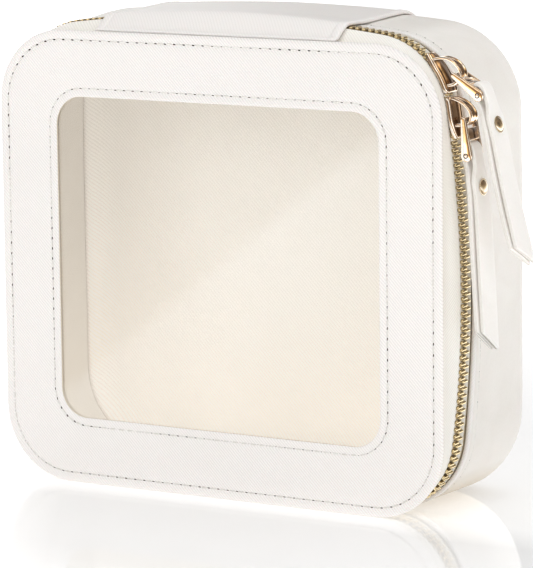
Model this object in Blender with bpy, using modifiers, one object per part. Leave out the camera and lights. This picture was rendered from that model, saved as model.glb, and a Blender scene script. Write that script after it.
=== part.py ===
# Zip-around vanity / makeup case with a clear window lid.
#
# Frame: +Z up, lid at the front toward -Y, floor at z = 0, origin at the middle
# of the bottom. Dimensions are in millimetres and are scaled to metres when a
# mesh is made; angles named "tilt" are in degrees.
#
# The case is a ring of soft walls. Every ring section is a rounded rectangle
# with slightly bowed sides, written as tangent arcs, and each wall, lining,
# tape and row of teeth is an offset of the same family of sections. Two sliders
# on the right-hand (+X) side of the zipper each carry a pull and a strap.

import math
from collections import namedtuple

import bmesh
import bpy
import numpy as np
from mathutils import Matrix, Vector

MM = 0.001

# ---------------------------------------------------------------- dimensions
FRONT_Y = -40.0            # front face of the lid
BACK_Y = 40.0              # back face of the body
HINGE_Y = -24.4            # hinge line, also the middle of the zipper chain
HINGE_Z = 211.6

# half_width: at the bow; bow_height: z of the widest point;
# side_bow, top_bow, upper_corner, lower_corner: radii; top, bottom: z
Section = namedtuple("Section", "half_width side_bow bow_height top top_bow "
                                "upper_corner lower_corner bottom")
FLAT = 60000.0             # bow radius of an all but straight side
SEC_PANEL = Section(110.0, FLAT, 100.5, 201.0, FLAT, 32.4, 32.4, 0.0)
SEC_CHAIN = Section(113.4, 470.0, 95.0, 208.9, 620.0, 34.6, 34.2, 1.4)
SEC_RIM = Section(114.0, 620.0, 97.0, 208.9, 640.0, 36.5, 36.0, 0.0)
SEC_BODY = Section(114.2, 9000.0, 100.0, 209.3, 900.0, 38.5, 38.0, 0.0)

# facets per half section
N_TOP, N_CORNER, N_SIDE, N_BOTTOM = 3, 7, 4, 1

FACE_T = 1.1               # leather of the front frame
WINDOW = (160.5, 142.5, 12.8)      # width, height, corner radius
SHEET = (173.0, 155.0, 18.0)       # the same for the clear sheet
WINDOW_Z = 100.8
WINDOW_MARGIN = 0.5        # clearance round the openings in board and lining
LID_BAND_Y = (-36.1, -33.7, -31.3, -28.9)    # rings of the lid's side band

TAPE_T = 0.45
WALL_T = 0.9
LINING_T = 0.7
RIM_T = 1.5
STIFFENER_T = 1.5
TAPE_DEPTH = 1.25          # below the lid's side band
LID_LINING_DEPTH = 2.05    # likewise
STIFFENER_INSET = 1.25     # inside the body's wall
LINING_INSET = 3.1         # likewise

BODY_FRONT_Y = -17.2
BACK_FILLET = 18.0
FILLET_Y = BACK_Y - BACK_FILLET
LINING_FILLET_DEPTH = 14.4         # how far back the lining's fillet reaches
FILLET_ANGLES = [math.radians(a) for a in (0, 22.5, 45, 67.5, 90)]

# ----------------------------------------------------------------- finishes
# name: template for the material's name, filled in with the piece's name
Finish = namedtuple("Finish", "name colour roughness metallic alpha", defaults=(0.0, 1.0))
GOLD_COLOUR = (0.83, 0.62, 0.30)

LEATHER = Finish("{}_leather", colour=(0.90, 0.89, 0.87), roughness=0.5)
LINING = Finish("{}_cloth", colour=(0.82, 0.76, 0.67), roughness=0.8)
TAPE = Finish("{}_cloth", colour=(0.86, 0.84, 0.80), roughness=0.9)
BOARD = Finish("{}_sheet", colour=(0.55, 0.50, 0.42), roughness=0.9)
FOAM = Finish("{}_foam", colour=(0.45, 0.43, 0.40), roughness=0.95)
CLEAR = Finish("clear_sheet", colour=(0.95, 0.95, 0.93), roughness=0.05, alpha=0.15)
TEETH_BRASS = Finish("{}_brass", colour=GOLD_COLOUR, roughness=0.3, metallic=1.0)
STOP_BRASS = Finish("{}_brass", colour=GOLD_COLOUR, roughness=0.35, metallic=1.0)
GOLD = Finish("{}_gold", colour=GOLD_COLOUR, roughness=0.2, metallic=1.0)
RIVET_BRASS = Finish("{}_brass", colour=(0.55, 0.42, 0.24), roughness=0.3, metallic=1.0)


def make_material(finish, piece):
    mat = bpy.data.materials.new(finish.name.format(piece))
    mat.use_nodes = True
    inputs = mat.node_tree.nodes["Principled BSDF"].inputs
    inputs["Base Color"].default_value = (*finish.colour, 1.0)
    inputs["Roughness"].default_value = finish.roughness
    inputs["Metallic"].default_value = finish.metallic
    inputs["Alpha"].default_value = finish.alpha
    mat.diffuse_color = (*finish.colour, finish.alpha)
    return mat


# ------------------------------------------------------------- scene set-up
for old in list(bpy.data.objects):
    bpy.data.objects.remove(old, do_unlink=True)
for block in (bpy.data.meshes, bpy.data.curves, bpy.data.materials):
    for item in list(block):
        if item.users == 0:
            block.remove(item)

scene = bpy.context.scene
PARTS = bpy.data.collections.new("window_vanity_case")
CUTTERS = bpy.data.collections.new("cutters")
scene.collection.children.link(PARTS)
scene.collection.children.link(CUTTERS)

# ------------------------------------------------------------ section maths
# Angles of an arc run clockwise from straight up, seen from the front.
Arc = namedtuple("Arc", "centre radius start end")


def smooth_step(t):
    t = min(max(t, 0.0), 1.0)
    return t * t * (3 - 2 * t)


def circle_meet(centre_a, radius_a, centre_b, radius_b):
    """The outer (upper right) meeting point of two circles."""
    dx, dz = centre_b[0] - centre_a[0], centre_b[1] - centre_a[1]
    distance = math.hypot(dx, dz)
    along = (distance * distance + radius_a * radius_a - radius_b * radius_b) / (2 * distance)
    aside = math.sqrt(max(radius_a * radius_a - along * along, 0.0))
    ux, uz = dx / distance, dz / distance
    both = [(centre_a[0] + along * ux + k * aside * uz,
             centre_a[1] + along * uz - k * aside * ux) for k in (1, -1)]
    return max(both, key=lambda p: p[0] + p[1])


def inset(sec, depth):
    """The section moved inward by depth all round."""
    return Section(sec.half_width - depth, sec.side_bow - depth, sec.bow_height,
                   sec.top - depth, sec.top_bow - depth, sec.upper_corner - depth,
                   sec.lower_corner - depth, sec.bottom + depth)


def blend_sections(first, second, t):
    """A section between two others: bows are mixed as curvatures."""
    out = []
    for field, a, b in zip(Section._fields, first, second):
        if field in ("side_bow", "top_bow"):
            out.append(1.0 / ((1 - t) / a + t / b))
        else:
            out.append((1 - t) * a + t * b)
    return Section(*out)


def bearing(start, end):
    return math.atan2(end[0] - start[0], end[1] - start[1])


def arcs(sec):
    """The right half of a section: top, upper corner, side, lower corner."""
    side = (sec.half_width - sec.side_bow, sec.bow_height)
    top = (0.0, sec.top - sec.top_bow)
    upper = circle_meet(side, sec.side_bow - sec.upper_corner,
                        top, sec.top_bow - sec.upper_corner)
    lower_z = sec.bottom + sec.lower_corner
    reach = math.sqrt((sec.side_bow - sec.lower_corner) ** 2 - (lower_z - sec.bow_height) ** 2)
    lower = (side[0] + reach, lower_z)
    top_end, side_start, side_end = bearing(top, upper), bearing(side, upper), bearing(side, lower)
    return (Arc(top, sec.top_bow, 0.0, top_end),
            Arc(upper, sec.upper_corner, top_end, side_start),
            Arc(side, sec.side_bow, side_start, side_end),
            Arc(lower, sec.lower_corner, side_end, math.pi))


def arc_point(arc, fraction):
    angle = arc.start + (arc.end - arc.start) * fraction
    return (arc.centre[0] + arc.radius * math.sin(angle),
            arc.centre[1] + arc.radius * math.cos(angle))


def half_section(sec):
    """Points from the top middle, down the right side, to the bottom middle."""
    right_arcs = arcs(sec)
    points = []
    for arc, count in zip(right_arcs, (N_TOP, N_CORNER, N_SIDE, N_CORNER)):
        points += [arc_point(arc, i / count) for i in range(count)]
    x = right_arcs[-1].centre[0]
    points += [(x * (1 - i / N_BOTTOM), sec.bottom) for i in range(N_BOTTOM + 1)]
    return points


def outline(sec):
    """The whole closed section, clockwise seen from the front."""
    right = half_section(sec)[:-1]       # one facet spans the flat underside
    return right + [(-x, z) for x, z in reversed(right[1:])]


def top_height(sec, x):
    """Height of a section's bowed top at x."""
    return sec.top - sec.top_bow + math.sqrt(sec.top_bow ** 2 - x * x)


def lid_section(y):
    """Section of the lid's side band; it runs on past the band's back edge."""
    front, back = LID_BAND_Y[0], LID_BAND_Y[-1]
    return blend_sections(inset(SEC_PANEL, 0.9), inset(SEC_CHAIN, -0.1),
                          max((y - front) / (back - front), 0.0))


def body_section(y):
    """Section of the body's wall, from its front edge to the back fillet."""
    t = (y - BODY_FRONT_Y) / (FILLET_Y - BODY_FRONT_Y)
    return blend_sections(SEC_RIM, SEC_BODY, smooth_step(t))


def ring_at(y, sec):
    return [(x, y, z) for x, z in outline(sec)]


def facet_normal(a, b):
    """Outward normal of the facet from a to b on a clockwise outline."""
    along = (b - a).normalized()
    return Vector((-along[1], along[0]))


def deep_lid_ring(y, depth):
    """A ring at y that lies depth below the sloping surface of the lid's side
    band, measured square to that surface."""
    step = 0.4
    here, ahead, behind = ([Vector(p) for p in outline(lid_section(y + dy))]
                           for dy in (0.0, step, -step))
    ring = []
    for i, point in enumerate(here):
        before = facet_normal(here[i - 1], point)
        after = facet_normal(point, here[(i + 1) % len(here)])
        miter = (before + after).normalized()
        miter = miter / miter.dot(before)
        slope = (ahead[i] - behind[i]).dot(miter.normalized()) / (2 * step)
        x, z = point - miter * depth * math.sqrt(1 + slope * slope)
        ring.append((x, y, z))
    return ring


# --------------------------------------------------------------- mesh tools
def add_object(name, mesh, finish=None):
    """Link a mesh as a part, or as a helper where it has no finish."""
    obj = bpy.data.objects.new(name, mesh)
    (PARTS if finish else CUTTERS).objects.link(obj)
    if finish:
        mesh.materials.clear()
        mesh.materials.append(make_material(finish, name))
    return obj


def object_from_bmesh(name, bm, finish=None):
    mesh = bpy.data.meshes.new(name)
    bm.to_mesh(mesh)
    bm.free()
    return add_object(name, mesh, finish)


def smooth_shade(mesh, angle=30.0):
    mesh.shade_smooth()
    mesh.set_sharp_from_angle(angle=math.radians(angle))


def solidify(obj, name, thickness, offset):
    mod = obj.modifiers.new(name, "SOLIDIFY")
    mod.thickness = thickness * MM
    mod.offset = offset
    mod.use_even_offset = True
    mod.use_quality_normals = True
    mod.use_rim = True


def skin(name, rings, thickness, finish, closed=True, offset=-1.0):
    """An open surface through rings of (x, y, z), given body by Solidify."""
    bm = bmesh.new()
    rows = [[bm.verts.new((x * MM, y * MM, z * MM)) for x, y, z in ring] for ring in rings]
    count = len(rows[0])
    for a, b in zip(rows, rows[1:]):
        for i in range(count if closed else count - 1):
            j = (i + 1) % count
            bm.faces.new((a[i], a[j], b[j], b[i]))
    obj = object_from_bmesh(name, bm, finish)
    smooth_shade(obj.data)
    solidify(obj, "wall", thickness, offset)


def face_out(bm):
    bmesh.ops.recalc_face_normals(bm, faces=bm.faces)
    if bm.calc_volume(signed=True) < 0:
        bmesh.ops.reverse_faces(bm, faces=bm.faces)


def evaluated_mesh(obj):
    bpy.context.view_layer.update()
    return bpy.data.meshes.new_from_object(
        obj.evaluated_get(bpy.context.evaluated_depsgraph_get()))


def extruded(name, loops, depth, place, finish=None):
    """A flat outline (with holes) extruded evenly to both sides by depth in
    all, then moved by place."""
    curve = bpy.data.curves.new(name, "CURVE")
    curve.dimensions = "2D"
    curve.fill_mode = "BOTH"
    curve.extrude = depth * MM / 2
    for points in loops:
        spline = curve.splines.new("POLY")
        spline.points.add(len(points) - 1)
        for target, (u, v) in zip(spline.points, points):
            target.co = (u * MM, v * MM, 0.0, 1.0)
        spline.use_cyclic_u = True
    flat = bpy.data.objects.new(name + "_outline", curve)
    CUTTERS.objects.link(flat)
    flat.matrix_world = place
    mesh = evaluated_mesh(flat)
    mesh.name = name
    world = flat.matrix_world.copy()
    bpy.data.objects.remove(flat, do_unlink=True)
    bm = bmesh.new()
    bm.from_mesh(mesh)
    bm.transform(world)
    bmesh.ops.remove_doubles(bm, verts=bm.verts, dist=0.00001)
    face_out(bm)
    bm.to_mesh(mesh)
    bm.free()
    return add_object(name, mesh, finish)


# stands a flat outline up: (u, v, w) -> (u, -w, v)
STAND = Matrix.Rotation(math.pi / 2, 4, "X")


def standing_plate(name, loops, y_mid, thickness, finish):
    """A plate in the XZ plane; its outlines are drawn in (x, z)."""
    extruded(name, loops, thickness, Matrix.Translation((0, y_mid * MM, 0)) @ STAND, finish)


def join_solids(name, pieces, finish):
    """Boolean union of closed pieces into one closed body."""
    base = pieces[0]
    for piece in pieces[1:]:
        mod = base.modifiers.new("join", "BOOLEAN")
        mod.operation = "UNION"
        mod.solver = "EXACT"
        mod.object = piece
    mesh = evaluated_mesh(base)
    for piece in pieces:
        bpy.data.objects.remove(piece, do_unlink=True)
    bm = bmesh.new()
    bm.from_mesh(mesh)
    bmesh.ops.remove_doubles(bm, verts=bm.verts, dist=0.00001)
    bmesh.ops.dissolve_limit(bm, angle_limit=math.radians(0.2), verts=bm.verts, edges=bm.edges)
    bm.to_mesh(mesh)
    bm.free()
    mesh.name = name
    return add_object(name, mesh, finish)


def rod(name, start, end, radius):
    """A helper cylinder between two points given in metres."""
    axis = end - start
    turn = axis.to_track_quat("Z", "Y").to_matrix().to_4x4()
    bm = bmesh.new()
    bmesh.ops.create_cone(bm, cap_ends=True, segments=12, radius1=radius * MM,
                          radius2=radius * MM, depth=axis.length,
                          matrix=Matrix.Translation((start + end) / 2) @ turn)
    return object_from_bmesh(name, bm)


# ============================================================ lid (front)
def window_outline(size, grow=0.0, facets=6):
    """A rounded rectangle about the window's middle, enlarged by grow."""
    width, height, radius = size
    half_w, half_h, radius = width / 2 + grow, height / 2 + grow, radius + grow
    out = []
    for sx, sz, start in ((1, 1, 90), (1, -1, 0), (-1, -1, -90), (-1, 1, -180)):
        for i in range(facets + 1):
            a = math.radians(start - 90 * i / facets)
            out.append((sx * (half_w - radius) + radius * math.cos(a),
                        WINDOW_Z + sz * (half_h - radius) + radius * math.sin(a)))
    return out


def build_lid():
    standing_plate("lid_face", [outline(SEC_PANEL), window_outline(WINDOW)],
                   FRONT_Y + FACE_T / 2, FACE_T, LEATHER)
    standing_plate("window_sheet", [window_outline(SHEET)], -38.35, 0.5, CLEAR)
    standing_plate("lid_board",
                   [outline(inset(SEC_PANEL, 1.3)), window_outline(SHEET, WINDOW_MARGIN)],
                   -38.0, 1.2, BOARD)
    standing_plate("lid_lining",
                   [outline(inset(SEC_PANEL, 1.6)), window_outline(WINDOW, WINDOW_MARGIN)],
                   -36.75, 0.6, LINING)
    skin("lid_gusset", [ring_at(y, lid_section(y)) for y in LID_BAND_Y], WALL_T, LEATHER)
    skin("zipper_tape_lid", [deep_lid_ring(y, TAPE_DEPTH) for y in LID_BAND_Y[1:]],
         TAPE_T, TAPE)
    skin("lid_gusset_lining", [deep_lid_ring(y, LID_LINING_DEPTH) for y in LID_BAND_Y[:-1]],
         LINING_T, LINING)


# ============================================================ zipper chain
# "side" is -1 for the lid's row and +1 for the body's.
LID_SIDE, BODY_SIDE = -1, 1

TEETH_HALF_T = 1.2         # half thickness of the tooth rows
SEC_TEETH = inset(SEC_CHAIN, 1.375)          # middle of the rows' thickness
TEETH_PITCH = 3.1
TEETH_GAP = 0.55           # tip to hinge line
TEETH_ROOT = 2.2           # root to hinge line
BEAD_BACK = 3.9            # back of the bead to hinge line
CHAIN_END_X = 55.0         # the chain runs under the hinge leather to here
# start and end of a tooth within its pitch; the rows are slightly out of step
TOOTH_SPAN = {LID_SIDE: (0.32, 0.68), BODY_SIDE: (0.14, 0.50)}

STOP_L, STOP_H = 3.0, 2.2
STOP_GAP = 0.7             # end stop to hinge line
STOP_X = CHAIN_END_X - 2.0
STOP_BEVEL = 0.35


def tooth_stations(side):
    """Points along the chain, each with whether a tooth starts there."""
    start = (CHAIN_END_X, top_height(SEC_TEETH, CHAIN_END_X))
    # the height test keeps the underside, whose points may lie nearer the middle
    right = [start] + [p for p in half_section(SEC_TEETH) if p[0] > CHAIN_END_X or p[1] < 150.0]
    line = [Vector(p) for p in right + [(-x, z) for x, z in reversed(right[:-1])]]
    span_start, span_end = TOOTH_SPAN[side]
    stations = []
    for a, b in zip(line, line[1:]):
        facet = b - a
        count = max(1, round(facet.length / TEETH_PITCH))
        stations.append((a, False))
        for i in range(count):
            stations.append((a + facet * ((i + span_start) / count), True))
            stations.append((a + facet * ((i + span_end) / count), False))
    stations.append((line[-1], False))
    return stations


def tooth_row(name, side):
    """One row of teeth on its bead: a bead swept along the section's facets,
    whose faces toward the hinge line are extruded into teeth."""
    stations = tooth_stations(side)
    points = [point for point, _ in stations]
    y_back = HINGE_Y + side * BEAD_BACK
    y_root = HINGE_Y + side * TEETH_ROOT
    bm = bmesh.new()
    loops = []
    for i, point in enumerate(points):
        # mitred from the normals of the facets that meet here
        normals = [facet_normal(points[k], points[k + 1])
                   for k in (i - 1, i) if 0 <= k < len(points) - 1]
        miter = (normals[0] + normals[-1]).normalized()
        miter = miter / max(miter.dot(normals[0]), 0.5)
        loop = []
        for y, height in ((y_back, TEETH_HALF_T), (y_root, TEETH_HALF_T),
                          (y_root, -TEETH_HALF_T), (y_back, -TEETH_HALF_T)):
            x, z = point + miter * height
            loop.append(bm.verts.new((x * MM, y * MM, z * MM)))
        loops.append(loop)
    bm.faces.new(loops[0])
    bm.faces.new(list(reversed(loops[-1])))
    roots = []
    for a, b, (_, tooth_starts) in zip(loops, loops[1:], stations):
        for j in range(4):
            k = (j + 1) % 4
            face = bm.faces.new((a[j], b[j], b[k], a[k]))
            if j == 1 and tooth_starts:
                roots.append(face)
    bmesh.ops.recalc_face_normals(bm, faces=bm.faces)
    tips = bmesh.ops.extrude_discrete_faces(bm, faces=roots)["faces"]
    for face in tips:
        for vert in face.verts:
            vert.co.y -= side * (TEETH_ROOT - TEETH_GAP) * MM
    face_out(bm)
    bmesh.ops.dissolve_limit(bm, angle_limit=math.radians(0.05), verts=bm.verts, edges=bm.edges)
    object_from_bmesh(name, bm, TEETH_BRASS)


def end_stop(name, x_sign, side):
    """A small block on one tape at one end of the chain."""
    y_mid = HINGE_Y + side * (STOP_GAP + BEAD_BACK) / 2
    size = (STOP_L * MM, (BEAD_BACK - STOP_GAP) * MM, STOP_H * MM, 1)
    bm = bmesh.new()
    bmesh.ops.create_cube(bm, size=1.0, matrix=Matrix.Translation((0, y_mid * MM, 0))
                          @ Matrix.Diagonal(size))
    obj = object_from_bmesh(name, bm, STOP_BRASS)
    obj.location = (x_sign * STOP_X * MM, 0, top_height(SEC_TEETH, STOP_X) * MM)
    obj.rotation_euler = (0, math.asin(x_sign * STOP_X / SEC_TEETH.top_bow), 0)
    bevel = obj.modifiers.new("edge", "BEVEL")
    bevel.width = STOP_BEVEL * MM
    bevel.segments = 1


def build_chain():
    for tag, side in (("lid", LID_SIDE), ("body", BODY_SIDE)):
        tooth_row("zipper_teeth_" + tag, side)
        end_stop("end_stop_right_" + tag, 1, side)
        end_stop("end_stop_left_" + tag, -1, side)


# ============================================================ body
def build_body():
    tape_front, tape_back = inset(SEC_CHAIN, 1.15), inset(SEC_RIM, 2.3)
    skin("zipper_tape_body",
         [ring_at(-20.2, tape_front),
          ring_at(-18.0, blend_sections(tape_front, tape_back, 0.6)),
          ring_at(-16.0, tape_back),
          ring_at(-14.2, tape_back)], TAPE_T, TAPE)

    skin("body_rim",
         [ring_at(BODY_FRONT_Y, inset(SEC_RIM, 0.4)),
          ring_at(-16.2, SEC_RIM),
          ring_at(-15.0, inset(SEC_RIM, 0.25))], RIM_T, LEATHER)

    # (y, inset): the front edge tucks in under the rim
    rings = [ring_at(y, inset(body_section(y), depth))
             for y, depth in ((-14.6, 0.25), (-4.0, 0.0), (10.0, 0.0))]
    rings += [ring_at(FILLET_Y + BACK_FILLET * math.sin(a),
                      inset(SEC_BODY, BACK_FILLET * (1 - math.cos(a)))) for a in FILLET_ANGLES]
    skin("body_gusset", rings, WALL_T, LEATHER)

    skin("body_stiffener",
         [ring_at(y, inset(body_section(y), STIFFENER_INSET)) for y in (-11.6, -4.0, 10.0, 21.5)],
         STIFFENER_T, FOAM)

    rings = [ring_at(y, inset(body_section(y), LINING_INSET)) for y in (-13.8, -4.0, 10.0)]
    rings += [ring_at(FILLET_Y + LINING_FILLET_DEPTH * math.sin(a),
                      inset(SEC_BODY, LINING_INSET
                            + (BACK_FILLET - LINING_INSET) * (1 - math.cos(a))))
              for a in FILLET_ANGLES]
    skin("body_lining", rings, LINING_T, LINING)

    back = outline(inset(SEC_BODY, BACK_FILLET + 0.35))
    for name, y_mid, thickness, finish in (("back_panel", BACK_Y - 0.5, 1.0, LEATHER),
                                           ("back_board", 37.95, 1.4, BOARD),
                                           ("back_lining", 36.1, 0.7, LINING)):
        standing_plate(name, [back], y_mid, thickness, finish)


# ============================================================ hinge leather
HINGE_HALF_W = 60.0
HINGE_T = 1.4
HINGE_GAP = 0.6            # half of the slit between the two hinge leathers
HINGE_LIFT = 0.35          # clearance over the surfaces below
HINGE_X = [-HINGE_HALF_W + 2 * HINGE_HALF_W * i / 8 for i in range(9)]


def hinge_row(y, sec, clearance=HINGE_LIFT, least=0.0, extra=0.0):
    """A row across the hinge: clearance over a section's top, but not under
    least, and then raised by extra."""
    over = inset(sec, -clearance)
    return [(x, y, extra + max(top_height(over, x), least)) for x in HINGE_X]


def build_hinge():
    # lid side, from the frame back to the slit
    panel_top = SEC_PANEL.top + HINGE_LIFT
    rows = [[(x, y, panel_top + extra) for x in HINGE_X]
            for y, extra in ((-37.9, 0.15), (-36.6, 0.25))]
    rows += [hinge_row(y, lid_section(y), least=panel_top + 0.3, extra=extra)
             for y, extra in ((-34.6, 1.1), (-32.5, 1.1), (-30.6, 0.6))]
    rows += [hinge_row(y, SEC_CHAIN, HINGE_LIFT + 0.15) for y in (-28.7, HINGE_Y - HINGE_GAP)]
    skin("hinge_leather_lid", rows, HINGE_T, LEATHER, closed=False, offset=1.0)

    # body side, from the slit over the top and part way round the back fillet
    rows = [hinge_row(HINGE_Y + HINGE_GAP, SEC_CHAIN, HINGE_LIFT + 0.15),
            hinge_row(-20.4, SEC_CHAIN, HINGE_LIFT + 0.35),
            hinge_row(-17.6, SEC_RIM)]
    rows += [hinge_row(y, body_section(y)) for y in (-14.8, -4.0, 10.0)]
    radius = BACK_FILLET + HINGE_LIFT
    for a in (math.radians(degrees) for degrees in (0, 15, 30, 45, 60)):
        rows.append(hinge_row(FILLET_Y + radius * math.sin(a), SEC_BODY,
                              clearance=-BACK_FILLET, extra=radius * math.cos(a)))
    skin("hinge_leather_body", rows, HINGE_T, LEATHER, closed=False, offset=1.0)


# ============================================================ sliders
# Slider space is (along, across, outward): along runs from the mouth to the
# narrow end, across runs toward the body.
SLIDER_L = 17.5
MOUTH_RISE = 3.0           # lower slider's mouth above the top end of the bowed side
MOUTH_GAP = 1.2            # between the two mouths
_, CORNER, SIDE, _ = arcs(SEC_TEETH)

# The lower slider stands at the top of the bowed side with its mouth up, the
# upper one on the corner with its mouth down.
LOWER_ANGLE = SIDE.start + (SLIDER_L / 2 - MOUTH_RISE) / SIDE.radius
UPPER_ANGLE = CORNER.end - (MOUTH_RISE + MOUTH_GAP + SLIDER_L / 2) / CORNER.radius

# The plate is cut short on the lid's side so that the lid can swing out of it.
LID_HALF = 3.2
NOSE = SLIDER_L / 2
PLATE = [(-NOSE, -LID_HALF), (-NOSE, 3.6), (-7.4, 5.45), (1.5, 5.45), (6.0, 5.0),
         (8.0, 4.3), (NOSE, 3.0), (NOSE, -2.0), (7.6, -LID_HALF)]
LIP = [(-7.6, 4.5), (-7.6, 5.3), (4.0, 5.3), (4.0, 4.5)]
POST = [(-7.8, -0.25), (-7.8, 0.25), (-2.6, 0.25), (-2.6, -0.25)]
# (outline in (along, across), inner level, outer level)
SLIDER_PRISMS = [(PLATE, 2.0, 3.7), (PLATE, -3.8, -2.4),
                 (LIP, 1.05, 2.6), (LIP, -2.9, -1.15), (POST, -2.9, 2.5)]
SLIDER_CUTS = (-6.0, -3.0, 0.0, 3.0, 6.0)    # extra edges along, for bending

ARCH_OUTER = (6.1, 8.4)    # half length and height of the ellipse
ARCH_INNER = (5.0, 7.3)
ARCH_BASE = 3.2
ARCH_W = 4.4


def bend_upper(along, across, outward):
    """Slider space wrapped round the corner, as a world point in mm."""
    angle = UPPER_ANGLE - along / CORNER.radius
    radius = CORNER.radius + outward
    return Vector((CORNER.centre[0] + radius * math.sin(angle), HINGE_Y + across,
                   CORNER.centre[1] + radius * math.cos(angle)))


def bend_lower(along, across, outward):
    """Slider space set straight against the bowed side, in mm."""
    sin, cos = math.sin(LOWER_ANGLE), math.cos(LOWER_ANGLE)
    radius = SIDE.radius + outward
    return Vector((SIDE.centre[0] + radius * sin + cos * along, HINGE_Y + across,
                   SIDE.centre[1] + radius * cos - sin * along))


def arch_outline(middle, lean, steps=10):
    """An elliptical arch in (along, outward), leaning along the slider by lean
    for every unit of height."""
    band = []
    for (half_length, height), sign in ((ARCH_OUTER, -1), (ARCH_INNER, 1)):
        for i in range(steps + 1):
            a = math.pi * i / steps
            rise = height * math.sin(a)
            band.append((middle + sign * half_length * math.cos(a) + lean * rise,
                         ARCH_BASE + rise))
    return band


def make_slider(name, bend, arch_middle, arch_lean):
    pieces = [extruded(name + "_prism", [points], outer - inner,
                       Matrix.Translation((0, 0, (inner + outer) / 2 * MM)))
              for points, inner, outer in SLIDER_PRISMS]
    pieces.append(extruded(name + "_arch", [arch_outline(arch_middle, arch_lean)],
                           ARCH_W, STAND))
    obj = join_solids(name, pieces, GOLD)
    bm = bmesh.new()
    bm.from_mesh(obj.data)
    for along in SLIDER_CUTS:
        bmesh.ops.bisect_plane(bm, geom=bm.verts[:] + bm.edges[:] + bm.faces[:],
                               plane_co=(along * MM, 0, 0), plane_no=(1, 0, 0), dist=1e-7)
    bmesh.ops.triangulate(bm, faces=bm.faces)
    for vert in bm.verts:
        vert.co = bend(*(vert.co / MM)) * MM
    face_out(bm)
    bm.to_mesh(obj.data)
    bm.free()


# ============================================================ pulls
ARM_T = 1.3
ARM_W = 5.05               # middle of an arm's thickness from the pull's middle
ARM_TOP_R, ARM_END_R = 1.15, 2.5
BRIDGE_W = 9.4
BAR_HALF_L = 4.9
PIVOT_BAR_R, STRAP_BAR_R = 0.75, 1.0


def side_frame(origin, tilt):
    """Space of a hanging piece, from an origin in metres: u outward (+X), v
    downward, both turned by tilt so that v leans outward, and w along +Y."""
    a = math.radians(tilt)
    u = Vector((math.cos(a), 0, math.sin(a)))
    v = Vector((math.sin(a), 0, -math.cos(a)))
    turn = Matrix((u, v, u.cross(v))).transposed().to_4x4()
    return Matrix.Translation((origin[0], HINGE_Y * MM, origin[2])) @ turn


def make_pull(name, pivot, length, tilt):
    """Two side arms joined by a pivot bar at the top, a bridge part of the way
    down and a strap bar below. Returns the middle of the strap bar."""
    place = side_frame(pivot, tilt)
    arm = []
    for i in range(9):
        a = math.pi * i / 8
        arm.append((-ARM_TOP_R * math.cos(a), -ARM_TOP_R * math.sin(a)))
    for i in range(11):
        a = math.pi * i / 10
        arm.append((ARM_END_R * math.cos(a), length + ARM_END_R * math.sin(a)))
    bridge = [(-0.3, 4.3), (0.9, 4.3), (1.25, 6.2), (1.45, length - 6.3), (0.1, length - 6.3)]
    pieces = [extruded(name + "_arm", [arm], ARM_T, place @ Matrix.Translation((0, 0, w * MM)))
              for w in (-ARM_W, ARM_W)]
    pieces.append(extruded(name + "_bridge", [bridge], BRIDGE_W, place))
    for v, radius in ((0.0, PIVOT_BAR_R), (length, STRAP_BAR_R)):
        ends = [place @ Vector((0, v * MM, w * MM)) for w in (-BAR_HALF_L, BAR_HALF_L)]
        pieces.append(rod(name + "_bar", *ends, radius))
    obj = join_solids(name, pieces, GOLD)
    smooth_shade(obj.data)
    return place @ Vector((0, length * MM, 0))


# ============================================================ straps
STRAP_T = 2.0
STRAP_W = 13.6
NECK_W = 8.2
NECK_END, NECK_FLARE = 3.3, 8.0    # the neck widens from here, over this length
LOOP_HALF_U, LOOP_RISE = 2.35, 4.6
RIVET_V = 13.5
HOLE_R = 1.6
HOLE_HALF_L = 5.0

# half gap between a strap's two layers: (distance below the bar, half gap)
HALF_GAP = [(48.0, 1.45), (32.0, 1.3), (20.0, 1.2), (16.0, 1.15), (10.5, 1.15),
            (6.6, 1.6), (3.4, 2.15)]
END_HALF_GAP = 1.55
# middle of the gap: (distance below the bar, offset outward)
GAP_UPPER = [(0.0, 0.0), (6.0, 0.9), (11.0, 1.2), (16.0, 1.0), (22.0, 0.6), (33.0, -0.25),
             (42.0, -0.75), (52.0, -1.1), (90.0, -1.3)]
GAP_LOWER = [(0.0, 0.0), (6.0, 1.2), (11.0, 1.8), (16.0, 2.0), (90.0, 1.9)]


def gap_offset(gap, v):
    return float(np.interp(v, *zip(*gap)))


def strap_path(gap, end):
    """Middle line of the leather from the inner end, over the bar, to the outer
    end, as rows of (u, v) at the near edge, (u, v) at the far edge, half width.
    The layers draw together at the rivet; above it they open into a loop that
    stands clear of the bar."""
    inner, outer = [], []
    levels = [(*end, END_HALF_GAP)] + [(v, v, half) for v, half in HALF_GAP]
    for near, far, half in levels:
        for layer, shift in ((inner, -half), (outer, half)):
            layer.append((gap_offset(gap, near) + shift, near,
                          gap_offset(gap, far) + shift, far))
    loop = []
    for i in range(7):
        a = math.pi * i / 6
        u, v = -LOOP_HALF_U * math.cos(a), -LOOP_RISE * math.sin(a)
        loop.append((u, v, u, v))
    path = []
    for row in inner + loop + outer[::-1]:
        flare = smooth_step((row[1] - NECK_END) / NECK_FLARE)
        path.append((*row, NECK_W / 2 + (STRAP_W - NECK_W) / 2 * flare))
    return path


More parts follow.
